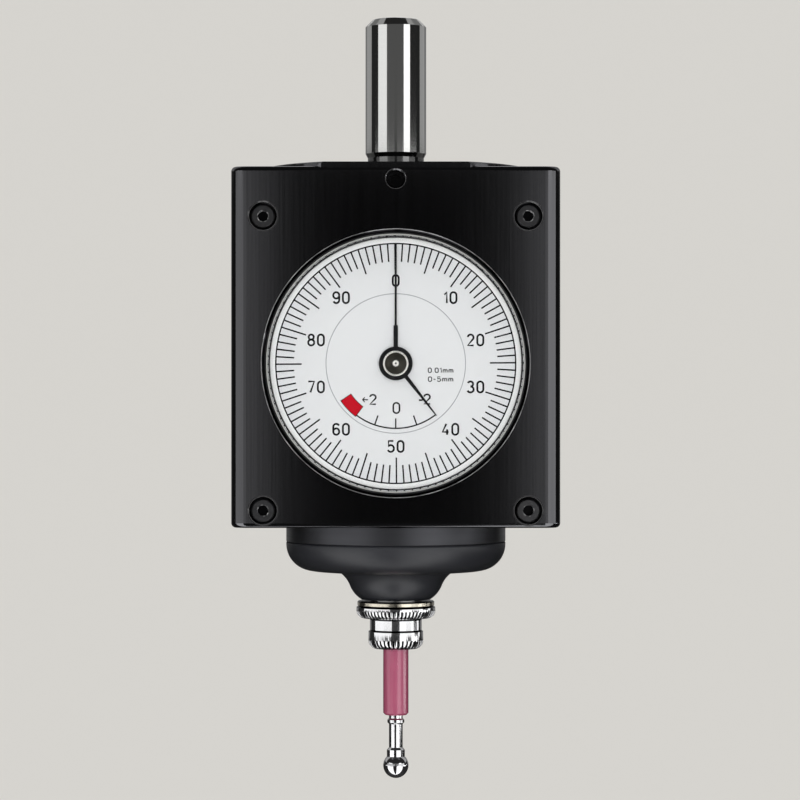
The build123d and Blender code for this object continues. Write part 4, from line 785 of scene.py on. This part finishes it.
@dataclass
class Dial:
    """The printed dial, its crystal and its two pointers. Sizes in millimetres."""

    ink: float = 0.012
    scale_r: float = 23.13
    tick_w: float = 0.29
    line_w: float = 0.27
    short_tick: float = 3.62
    long_tick: float = 5.09
    mark_count: int = 100
    long_every: int = 5
    numeral_h: float = 2.47
    numeral_w: float = 1.53
    stroke: float = 0.38
    upright_y: float = 15.9
    slanted: Point = (10.48, 12.62)
    level: Point = (15.28, 4.5)
    scale_turn: float = 0.35
    inner_ring_r: float = 13.45
    counter_r: float = 12.57
    counter_reach: tuple[float, float] = (-38.0, 38.0)
    counter_ticks: tuple[float, ...] = (-18.9, 0.0, 18.9)
    counter_tick: float = 2.03
    sector: tuple[float, float] = (37.5, 55.5)
    sector_r: tuple[float, float] = (10.46, 12.67)
    outline: float = 0.14
    cap_r: float = 2.44
    cap_rim: float = 0.38
    crystal_bevel: float = 0.4
    stud_ring: Point = (0.23, 0.39)

    def place(self, lift: float = 0.0) -> Matrix:
        """Give the matrix from dial millimetres, X right, Y up, Z forward, to the object."""
        centre = dial_centre() / MM - Vector((0, lift, 0))
        return Matrix.Translation(centre) @ Matrix.Rotation(math.pi / 2, 4, "X")

    def print_on(self, blank: Blank, finish: Finish, lift: float = 0.0) -> bpy.types.Object:
        """Set a print on the dial.

        Args:
            blank: The print, with its foot at height 0.
            finish: Its ink.
            lift: How far it stands in front of the dial's face.

        Returns:
            The print.
        """
        made = blank.piece(finish, self.place(lift), smooth=20.0)
        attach(made, "case")
        return made

    def band(self, blank: Blank, inner: float, outer: float, start: float = 0, end: float = 360) -> None:
        """Add a flat ring, or a part of one, between two bearings from 6 o'clock.

        Args:
            blank: The mesh that it joins.
            inner: Its inner radius.
            outer: Its outer radius.
            start: Its first bearing in degrees, clockwise positive.
            end: Its last bearing.
        """
        part = Blank("band")
        profile = [(inner, 0.0), (outer, 0.0), (outer, self.ink), (inner, self.ink)]
        sweep = math.radians(end - start)
        steps = max(4, round(192 * sweep / TURN))
        part.turn(profile, steps, sweep=sweep)
        turn = Matrix.Rotation(-math.pi / 2 - math.radians(end), 4, "Z")
        bmesh.ops.transform(part.mesh, matrix=turn, verts=part.mesh.verts[:])
        self.join(blank, part)

    def join(self, blank: Blank, part: Blank) -> None:
        """Move a part's mesh into a blank."""
        data = bpy.data.meshes.new("part")
        part.mesh.to_mesh(data)
        part.mesh.free()
        blank.mesh.from_mesh(data)
        bpy.data.meshes.remove(data)

    def scale(self) -> Blank:
        """Draw the outer circle with its hundred marks."""
        blank = Blank("dial_scale")
        self.band(blank, self.scale_r - self.line_w, self.scale_r)
        per_group = TURN * self.long_every / self.mark_count
        verts = []
        for mark in range(self.long_every):
            length = self.short_tick if mark else self.long_tick
            middle = Vector((0, self.scale_r - length / 2, self.ink / 2))
            verts += blank.bar(self.tick_w, length, self.ink, middle, -mark * TURN / self.mark_count)
        geometry = list({e for v in verts for e in v.link_edges} | {f for v in verts for f in v.link_faces})
        bmesh.ops.spin(
            blank.mesh, geom=verts + geometry, cent=(0, 0, 0), axis=(0, 0, 1), dvec=(0, 0, 0),
            angle=TURN - per_group, steps=self.mark_count // self.long_every - 1,
            use_merge=False, use_duplicate=True,
        )
        turn = Matrix.Rotation(math.radians(self.scale_turn), 4, "Z")
        bmesh.ops.transform(blank.mesh, matrix=turn, verts=blank.mesh.verts[:])
        return blank

    def lettering(
        self, blank: Blank, text: str, middle: Point, high: float, wide: float, stroke: float
    ) -> None:
        """Add a line of upright type drawn with one even stroke.

        Args:
            blank: The mesh that it joins.
            text: What it says.
            middle: Its middle on the dial.
            high: The height of its numerals.
            wide: The width of one wide numeral.
            stroke: The width of its stroke.
        """
        gap = stroke * 0.85
        widths = [GLYPHS[sign][0] * (wide - stroke) + stroke for sign in text]
        left = middle[0] - (sum(widths) + gap * (len(text) - 1)) / 2
        curve = bpy.data.curves.new("type", "CURVE")
        curve.dimensions = "3D"
        curve.bevel_depth = stroke / 2
        curve.bevel_resolution = 1
        curve.use_fill_caps = True
        for sign, width in zip(text, widths):
            for path in GLYPHS[sign][1]:
                spline = curve.splines.new("POLY")
                spline.points.add(len(path) - 1)
                for point, (x, y) in zip(spline.points, path):
                    across = left + stroke / 2 + x * (wide - stroke)
                    up = middle[1] - high / 2 + stroke / 2 + y * (high - stroke)
                    point.co = (across, up, 0, 1)
            left += width + gap
        holder = bpy.data.objects.new("type", curve)
        data = bpy.data.meshes.new_from_object(holder)
        part = Blank("type")
        part.mesh.from_mesh(data)
        press = Matrix.Translation((0, 0, self.ink / 2)) @ Matrix.Diagonal((1, 1, self.ink / stroke, 1))
        bmesh.ops.transform(part.mesh, matrix=press, verts=part.mesh.verts[:])
        self.join(blank, part)
        bpy.data.objects.remove(holder)
        bpy.data.curves.remove(curve)
        bpy.data.meshes.remove(data)

    def numerals(self) -> Blank:
        """Draw the numbers from 0 to 90."""
        blank = Blank("dial_numerals")
        across, up = self.slanted
        far, near = self.level
        places = (
            (0, self.upright_y), (across, up), (far, near), (far, -near), (across, -up),
            (0, -self.upright_y), (-across, -up), (-far, -near), (-far, near), (-across, up),
        )
        for number, middle in enumerate(places):
            text = str(number * 10)
            self.lettering(blank, text, middle, self.numeral_h, self.numeral_w, self.stroke)
        return blank

    def counter_scale(self) -> Blank:
        """Draw the revolution counter's arc, its marks and numbers."""
        blank = Blank("counter_scale")
        start, end = self.counter_reach
        self.band(blank, self.counter_r - self.line_w, self.counter_r, start, end)
        for tick in self.counter_ticks:
            middle = Vector((0, -(self.counter_r - self.counter_tick / 2), self.ink / 2))
            blank.bar(self.line_w, self.counter_tick, self.ink, middle, -math.radians(tick))
        small = (2.15, 1.5, 0.33)
        self.lettering(blank, "2", (-4.38, -6.9), *small)
        self.lettering(blank, "0", (0.12, -8.53), 2.3, 1.5, 0.32)
        self.lettering(blank, "-", (4.8, -6.95), *small)
        self.lettering(blank, "2", (6.0, -6.84), *small)
        self.lettering(blank, "<", (-5.85, -6.95), 2.0, 1.35, 0.22)
        self.lettering(blank, "0.01mm", (8.6, -1.3), 1.05, 0.78, 0.19)
        self.lettering(blank, "0-5mm", (8.6, -3.0), 1.05, 0.82, 0.19)
        return blank

    def warning_sector(self) -> None:
        """Print the red sector with its black outline."""
        inner, outer = self.sector_r
        start, end = self.sector
        edge = math.degrees(self.outline / outer)
        under = Blank("sector_outline")
        self.band(under, inner - self.outline, outer + self.outline, start - edge, end + edge)
        self.print_on(under, BLACK_INK)
        over = Blank("sector_red")
        self.band(over, inner, outer, start, end)
        self.print_on(over, RED_INK, self.ink)

    def hub_cap(self) -> None:
        """Turn the pointer's bright cap, dished inside a rounded rim."""
        low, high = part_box("pointer_hub_cap")
        tall = (high.y - low.y) / MM
        rim = self.cap_rim / 2
        middle = (self.cap_r - rim, tall - rim)
        crown = [
            (middle[0] + rim * math.cos(math.pi * step / 8), middle[1] + rim * math.sin(math.pi * step / 8))
            for step in range(9)
        ]
        lip = [(self.cap_r - self.cap_rim, 0.0)]
        blank = Blank("hub_cap")
        blank.turn([(self.cap_r, 0.0)] + crown + lip, 96)
        lift = (dial_centre().y - high.y) / MM
        made = blank.piece(TURNED_CAP, self.place(lift), smooth=40.0)
        dish = Blank("hub_dish")
        dish.turn([(2.1, 0.0), (2.1, tall - 0.3), (1.0, tall - 0.26), (0.7, tall - 0.22), (0.7, 0.0)], 96)
        dished = dish.piece(CAP_DISH, self.place(lift), smooth=40.0)
        for piece in (made, dished):
            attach(piece, "centre")
            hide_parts("pointer_hub_cap")
        low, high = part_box("centre_arbor")
        nose = (dial_centre().y - low.y) / MM
        round_r, middle_r = self.stud_ring
        seat = nose - round_r / 2
        crown = bowed((middle_r + round_r, seat), (middle_r - round_r, seat), round_r, 8)
        stud = Blank("arbor_stud")
        stud.turn([(middle_r + round_r, seat), *crown], 64)
        tip = stud.piece(STUD_STEEL, self.place(), smooth=40.0)
        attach(tip, "centre")

    def crystal_edge(self) -> None:
        """Make the ground edge that shows as a pale ring round the crystal."""
        low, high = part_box("crystal")
        outer = (high.x - low.x) / 2 / MM
        front = dial_centre().y / MM - low.y / MM
        bevel, skin = self.crystal_bevel, 0.03
        wide = bevel * 0.6
        profile = [
            (outer - wide, front - bevel + wide), (outer, front - bevel),
            (outer + skin, front - bevel + skin), (outer - wide + skin, front - bevel + wide + skin),
        ]
        blank = Blank("crystal_edge")
        blank.turn(profile, 192)
        made = blank.piece(GROUND_GLASS, self.place(), smooth=50.0)
        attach(made, "case")

    def build(self) -> None:
        """Print the dial and make its small parts."""
        for blank in (self.scale(), self.numerals(), self.counter_scale()):
            self.print_on(blank, BLACK_INK)
        ring = Blank("inner_ring")
        self.band(ring, self.inner_ring_r - 0.15, self.inner_ring_r)
        self.print_on(ring, GREY_INK)
        self.warning_sector()
        self.hub_cap()
        self.crystal_edge()

    def dress(self) -> None:
        """Dress the dial plate, crystal and pointers."""
        dress(("dial_plate",), DIAL_WHITE)
        dress(("crystal",), CRYSTAL_GLASS)
        dress(("main_pointer", "small_pointer"), POINTER_BLACK)


@dataclass
class Movement:
    """The gear train behind the dial."""

    def dress(self) -> None:
        """Dress the plates, wheels, arbors and springs."""
        dress(
            ("movement_front_plate", "movement_back_plate", "movement_pillars", "drive_wheel",
             "take_up_wheel", "counter_wheel", "pinion_bush"), MOVEMENT_BRASS,
        )
        dress(("movement_screws", "pinion_arbor", "centre_arbor", "take_up_arbor",
               "hairspring_stud"), PLAIN_STEEL)
        dress(("hairspring",), SPRING_BRONZE)


@dataclass
class Plunger:
    """The measuring rod, its guides and the cardan joint below it."""

    def dress(self) -> None:
        """Dress the rod, bushes, springs and joint."""
        dress(("plunger", "probe_arm", "cup_pins", "ring_pins"), PLAIN_STEEL)
        dress(("upper_guide_bush", "lower_guide_bush"), MOVEMENT_BRASS)
        dress(("return_spring", "centring_spring"), SPRING_STEEL)
        dress(("joint_cup", "cardan_ring"), SATIN_ANODISED)


@dataclass
class Boot:
    """The rubber boot in three skins, one for each joint. Sizes in millimetres."""

    rim_r: float = 21.65
    rim_edge: float = 0.15
    corner_r: float = 5.2
    flat_z: float = -82.2
    crease: Point = (11.2, -82.6)
    hollow_r: float = 5.5
    waist: Point = (9.1, -85.2)
    bulge_r: float = 5.64
    foot: Point = (6.9, -87.9)
    neck_r: float = 5.3
    wall: float = 1.35
    steps: int = 160

    def skin(self, name: str, profile: list[Point], joint: tuple[str, str], reach: Point) -> None:
        """Turn one skin and give it its wall.

        Args:
            name: The piece's name.
            profile: Its outer (radius, height) points from the top.
            joint: The bodies above and below; not used.
            reach: The heights where a bend would start and end; not used.
        """
        blank = Blank(name)
        blank.turn(profile, self.steps, closed=False)
        made = blank.piece(BOOT_RUBBER, smooth=50.0, closed=False)
        ends = bmesh.new()
        ends.from_mesh(made.data)
        for edge in ends.edges:
            edge.smooth = edge.smooth and not edge.is_boundary
        ends.to_mesh(made.data)
        ends.free()
        wall = made.modifiers.new("wall", "SOLIDIFY")
        wall.thickness = self.wall * MM
        wall.offset = -1.0
        wall.use_even_offset = True
        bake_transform(made)
        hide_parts("rubber_boot")

    def build(self) -> None:
        """Make the corner with its flat, the hollow and the bulge."""
        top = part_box("rubber_boot")[1].z / MM
        corner_top = (self.rim_r, self.flat_z + self.corner_r)
        corner_foot = (self.rim_r - self.corner_r, self.flat_z)
        corner = [
            (self.rim_r - 1.6, top), (self.rim_r - self.rim_edge, top),
            (self.rim_r, top - self.rim_edge), corner_top,
        ]
        corner += bowed(corner_top, corner_foot, -self.corner_r, 14)
        flat = [
            (corner_foot[0] + (self.crease[0] - corner_foot[0]) * step / 8,
             corner_foot[1] + (self.crease[1] - corner_foot[1]) * step / 8)
            for step in range(1, 9)
        ]
        self.skin("boot_corner", corner + flat, ("case", "rod"), (self.flat_z, self.crease[1]))
        hollow = [self.crease] + bowed(self.crease, self.waist, self.hollow_r, 10)
        self.skin("boot_hollow", hollow, ("rod", "gimbal"), (self.crease[1], self.waist[1]))
        bulge = [self.waist] + bowed(self.waist, self.foot, -self.bulge_r, 12)
        bulge += [(self.neck_r, self.foot[1])]
        self.skin("boot_bulge", bulge, ("gimbal", "probe"), (self.waist[1], self.foot[1]))

    def dress(self) -> None:
        """Dress the ring that holds the boot."""
        dress(("boot_ring",), SATIN_ANODISED)


@dataclass
class Stylus:
    """The clamp washer, knurled ring and the stylus below them. Sizes in millimetres."""

    ring_r: float = 7.8
    ring_band: float = 0.7
    ring_foot_r: float = 6.3
    ring_bore_r: float = 4.05
    ring_grooves: int = 60
    neck_r: float = 5.13
    neck_h: float = 2.45
    collar_r: float = 5.42
    collar_top_r: float = 5.4
    collar_band: float = 1.7
    collar_foot_r: float = 4.2
    collar_grooves: int = 36
    bore_r: float = 2.52
    stud_r: float = 2.4
    stud_h: float = 5.0
    groove: float = 0.3

    def knurled(
        self, name: str, node: str, stations: list[tuple[float, float, float]], grooves: int,
        top: float, dark: tuple[Point, ...]
    ) -> None:
        """Make a turned piece with a straight knurl, from one pitch turned round the axis.

        Args:
            name: The piece's name.
            node: The CAD node that it stands for.
            stations: (radius, height, share of the groove's depth) round its section.
            grooves: The number of grooves.
            top: The height where the knurl starts.
            dark: The pairs of heights between which shade is painted on.
        """
        blank = Blank(name)
        pitch = TURN / grooves
        loops = []
        for turn, depth in ((-0.5, 1.0), (-0.26, 0.1), (-0.1, 0.0), (0.1, 0.0), (0.26, 0.1), (0.5, 1.0)):
            verts = [
                blank.mesh.verts.new((radius - self.groove * depth * share, 0, height))
                for radius, height, share in stations
            ]
            place = Matrix.Rotation(turn * pitch, 4, "Z")
            bmesh.ops.transform(blank.mesh, matrix=place, verts=verts)
            pairs = zip(verts, verts[1:] + verts[:1])
            loops.append([blank.mesh.edges.new(pair) for pair in pairs])
        for first, second in zip(loops, loops[1:]):
            bmesh.ops.bridge_loops(blank.mesh, edges=first + second)
        geometry = blank.mesh.verts[:] + blank.mesh.edges[:] + blank.mesh.faces[:]
        bmesh.ops.spin(
            blank.mesh, geom=geometry, cent=(0, 0, 0), axis=(0, 0, 1), dvec=(0, 0, 0),
            angle=TURN - pitch, steps=grooves - 1, use_merge=False, use_duplicate=True,
        )
        bands = tuple((low * MM, high * MM) for low, high in dark)
        finish = KnurledMetal(f"{name}_metal", **BRIGHT, bands=bands, grooves=grooves, top_z=top * MM)
        made = blank.piece(finish, smooth=24.0)
        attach(made, "probe")
        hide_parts(node)

    def ring(self) -> None:
        """Make the clamp ring, smooth above and knurled round its lower edge."""
        low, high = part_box("knurled_ring")
        top, foot = high.z / MM, low.z / MM
        start = top - self.ring_band
        outer = [(self.ring_bore_r, top, 0.0), (self.ring_r - 0.2, top, 0.0), (self.ring_r, top - 0.2, 0.0)]
        outer += [(self.ring_r, start, 0.0), (self.ring_r, start - 0.14, 1.0)]
        shoulder = (self.ring_r, start - 0.3)
        rounded = bowed(shoulder, (self.ring_foot_r, foot + 0.03), -1.55, 7)
        outer += [(*shoulder, 1.0)] + [(radius, height, 1.0) for radius, height in rounded]
        outer += [(self.ring_bore_r, foot + 0.03, 0.0)]
        # Painted shade at the ring's top edge and at its foot.
        dark = ((top - 0.2, top + 0.1), (foot - 0.1, foot + 0.12))
        self.knurled("clamp_ring", "knurled_ring", outer, self.ring_grooves, start, dark)

    def base(self) -> None:
        """Make the stylus's base: stud, neck and knurled collar."""
        low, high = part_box("stylus_base")
        foot = low.z / MM
        neck_top = high.z / MM - self.stud_h
        top = neck_top - self.neck_h
        start = top - self.collar_band
        outer = [
            (0.0, high.z / MM, 0.0), (self.stud_r, high.z / MM, 0.0), (self.stud_r, neck_top, 0.0),
            (self.neck_r - 0.1, neck_top, 0.0), (self.neck_r, neck_top - 0.1, 0.0),
            (self.neck_r, top + 0.12, 0.0), (self.neck_r - 0.12, top + 0.06, 0.0),
            (self.collar_top_r - 0.12, top, 0.0), (self.collar_top_r, top - 0.12, 0.0),
            (self.collar_r, start, 0.0), (self.collar_r, start - 0.14, 1.0),
        ]
        shoulder = (self.collar_r, start - 0.45)
        rounded = bowed(shoulder, (self.collar_foot_r, foot), -1.7, 8)
        outer += [(*shoulder, 1.0)] + [(radius, height, 1.0) for radius, height in rounded]
        outer += [(self.bore_r, foot, 0.0), (self.bore_r, foot + 3.0, 0.0), (0.0, foot + 3.0, 0.0)]
        # Painted shade at the top of the neck, where the neck meets the collar, and at the foot.
        dark = ((neck_top - 0.3, neck_top), (top - 0.14, top + 0.24), (foot - 0.1, foot + 0.2))
        self.knurled("stylus_collar", "stylus_base", outer, self.collar_grooves, start, dark)

    def build(self) -> None:
        """Make the two knurled pieces."""
        self.ring()
        self.base()

    def dress(self) -> None:
        """Dress the stylus from the washer down to the ball."""
        low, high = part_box("boot_washer")
        # Painted shade on the washer's top and bottom edges, where the gaps above and below it are dark.
        bands = ((high.z - 0.00025, high.z + 0.0001), (low.z - 0.0001, low.z + 0.0002))
        dress(("boot_washer",), EdgedMetal("nickel_warm", **NICKEL, bands=bands))
        dress(("stylus_tip",), BRIGHT_STEEL)
        dress(("ceramic_stem",), PINK_CERAMIC)
        dress(("probe_ball",), BALL_STEEL)


@dataclass(frozen=True)
class Lamp:
    """A soft panel that faces the object and lights only its matt side. Degrees, metres."""

    name: str
    bearing: float
    middle_z: float
    away: float
    wide: float
    high: float
    radiance: float
    colour: Colour = (1.0, 1.0, 1.0)

    def build(self) -> None:
        """Hang the panel, turned to the dial's height and hidden from the camera."""
        data = bpy.data.lights.new(self.name, "AREA")
        data.shape = "RECTANGLE"
        data.size = self.wide
        data.size_y = self.high
        data.energy = self.radiance * math.pi * self.wide * self.high
        data.color = self.colour
        lamp = bpy.data.objects.new(self.name, data)
        bpy.context.scene.collection.objects.link(lamp)
        angle = math.radians(self.bearing)
        lamp.location = (self.away * math.sin(angle), -self.away * math.cos(angle), self.middle_z)
        lamp.rotation_mode = "QUATERNION"
        lamp.rotation_quaternion = (dial_centre() - lamp.location).to_track_quat("-Z", "Y")
        lamp.visible_camera = lamp.visible_glossy = False


@dataclass(frozen=True)
class Card:
    """A glowing sheet, white, grey or near black, bent round the object, which only reflections show.

    Bearings are in degrees from the front, positive to the right. Sizes are in metres.
    """

    start: float
    end: float
    low: float
    high: float
    light: float
    away: float = 0.6
    inner: float | None = None

    def build(self) -> None:
        """Turn the sheet, upright or flat if it has an inner radius, and hide it from the eye."""
        near = self.away if self.inner is None else self.inner
        profile = [(near / MM, self.low / MM), (self.away / MM, self.high / MM)]
        blank = Blank(f"card_{self.start:g}_{self.low:g}")
        sweep = math.radians(self.end - self.start)
        blank.turn(profile, max(2, round(math.degrees(sweep) / 3)), closed=False, sweep=sweep)
        turn = Matrix.Rotation(math.radians(self.start) - math.pi / 2, 4, "Z")
        finish = Backdrop(f"card_{self.light:g}", (1.0, 1.0, 1.0), 0.0, glow=1.0, strength=self.light)
        made = blank.piece(finish, turn, closed=False)
        made.visible_camera = made.visible_diffuse = made.visible_shadow = False


SHANK_Z = (0.0455, 0.13)
CASE_Z = (-0.112, 0.0455)
COLLAR_Z = (-0.1455, -0.112)
CERAMIC_Z = (-0.1735, -0.1455)
BALL_Z = (-0.6, -0.1735)
WALL_Z = (-0.78, 1.6)


@dataclass
class Studio:
    """The camera, the pale bowl, the lamps and the cards. Sizes in metres."""

    camera_at: tuple[float, float, float] = (0.00082, -0.6, -0.0486)
    lens: float = 136.575
    bowl_r: float = 2.2
    floor_z: float = -0.85
    wall_z: float = 3.0
    air: float = 0.5
    lamps: tuple[Lamp, ...] = (
        Lamp("front", 0, -0.05, 1.0, 0.6, 0.6, 7.3),
        Lamp("above_left", -50, 0.9, 0.9, 0.6, 0.5, 1.6, (1.0, 0.985, 0.96)),
        Lamp("above_right", 50, 0.9, 0.9, 0.6, 0.5, 1.8),
    )
    cards: tuple[Card, ...] = (
        Card(-70, -34, *SHANK_Z, 1.5),
        Card(-34, 30, *SHANK_Z, 0.14),
        Card(30, 55, *SHANK_Z, 2.2),
        Card(-85, -25, *CASE_Z, 0.7),
        Card(-25, -4.9, *CASE_Z, 0.45),
        Card(-4.9, 4.8, *CASE_Z, 0.012),
        Card(4.8, 25, *CASE_Z, 0.45),
        Card(25, 85, *CASE_Z, 1.1),
        Card(-104, -18, *COLLAR_Z, 1.5),
        Card(-18, 17, *COLLAR_Z, 0.07),
        Card(17, 86, *COLLAR_Z, 1.5),
        Card(107, 121, *COLLAR_Z, 1.5),
        Card(-90, -55, *CERAMIC_Z, 0.9),
        Card(-55, 15, *CERAMIC_Z, 0.05),
        Card(15, 46, *CERAMIC_Z, 3.0),
        Card(72, 103, *CERAMIC_Z, 4.5),
        Card(-80, -25, *BALL_Z, 1.9),
        Card(8, 66, *BALL_Z, 1.9),
        Card(-80, -25, -0.6, -0.6, 1.9, inner=0.0),
        Card(8, 66, -0.6, -0.6, 1.9, inner=0.0),
        Card(-105, 103, *WALL_Z, 0.03, away=0.75),
        Card(103, 139, 0.058, 1.6, 0.5, away=0.75),
        Card(139, 219, -0.16, 1.6, 0.25, away=0.75),
        Card(219, 255, 0.058, 1.6, 0.5, away=0.75),
        Card(103, 139, -0.78, 0.058, 0.03, away=0.75),
        Card(139, 219, -0.78, -0.16, 0.03, away=0.75),
        Card(219, 255, -0.78, 0.058, 0.03, away=0.75),
        Card(160, 200, 0.3, 1.2, 1.0, away=0.7),
        Card(0, 360, 1.6, 1.6, 0.03, away=0.75, inner=0.0),
        Card(0, 360, -0.78, -0.78, 0.05, away=0.75, inner=0.0),
    )

    def camera(self) -> None:
        """Set the camera where the photograph was taken from."""
        data = bpy.data.cameras.new("camera")
        data.lens = self.lens
        data.sensor_width = 36.0
        camera = bpy.data.objects.new("camera", data)
        bpy.context.scene.collection.objects.link(camera)
        camera.location = self.camera_at
        camera.rotation_euler = (math.pi / 2, 0, 0)
        bpy.context.scene.camera = camera

    def bowl(self) -> None:
        """Turn the pale floor and wall in one piece."""
        corner = 0.8
        foot, top = (self.bowl_r - corner, self.floor_z), (self.bowl_r, self.floor_z + corner)
        profile = [(0.0, self.floor_z), foot] + bowed(foot, top, corner, 12)
        profile += [(self.bowl_r, self.wall_z)]
        blank = Blank("bowl")
        blank.turn([(r / MM, z / MM) for r, z in profile], 96, closed=False)
        made = blank.piece(PALE_BOWL, closed=False)
        made.data.flip_normals()

    def build(self) -> None:
        """Set up the whole studio."""
        scene = bpy.context.scene
        scene.view_settings.view_transform = "Standard"
        world = bpy.data.worlds.new("studio_air")
        world.use_nodes = True
        world.node_tree.nodes["Background"].inputs["Color"].default_value = (1, 0.99, 0.97, 1)
        world.node_tree.nodes["Background"].inputs["Strength"].default_value = self.air
        scene.world = world
        self.camera()
        self.bowl()
        for fitting in self.lamps + self.cards:
            fitting.build()


def main() -> None:
    """Build every piece and finish in order."""
    logging.basicConfig(level=logging.INFO, format="%(message)s")
    Studio().build()
    for assembly in (Case(), Shank(), Dial(), Movement(), Plunger(), Boot(), Stylus()):
        assembly.dress()
        if hasattr(assembly, "build"):
            assembly.build()


if __name__ == "__main__":
    main()
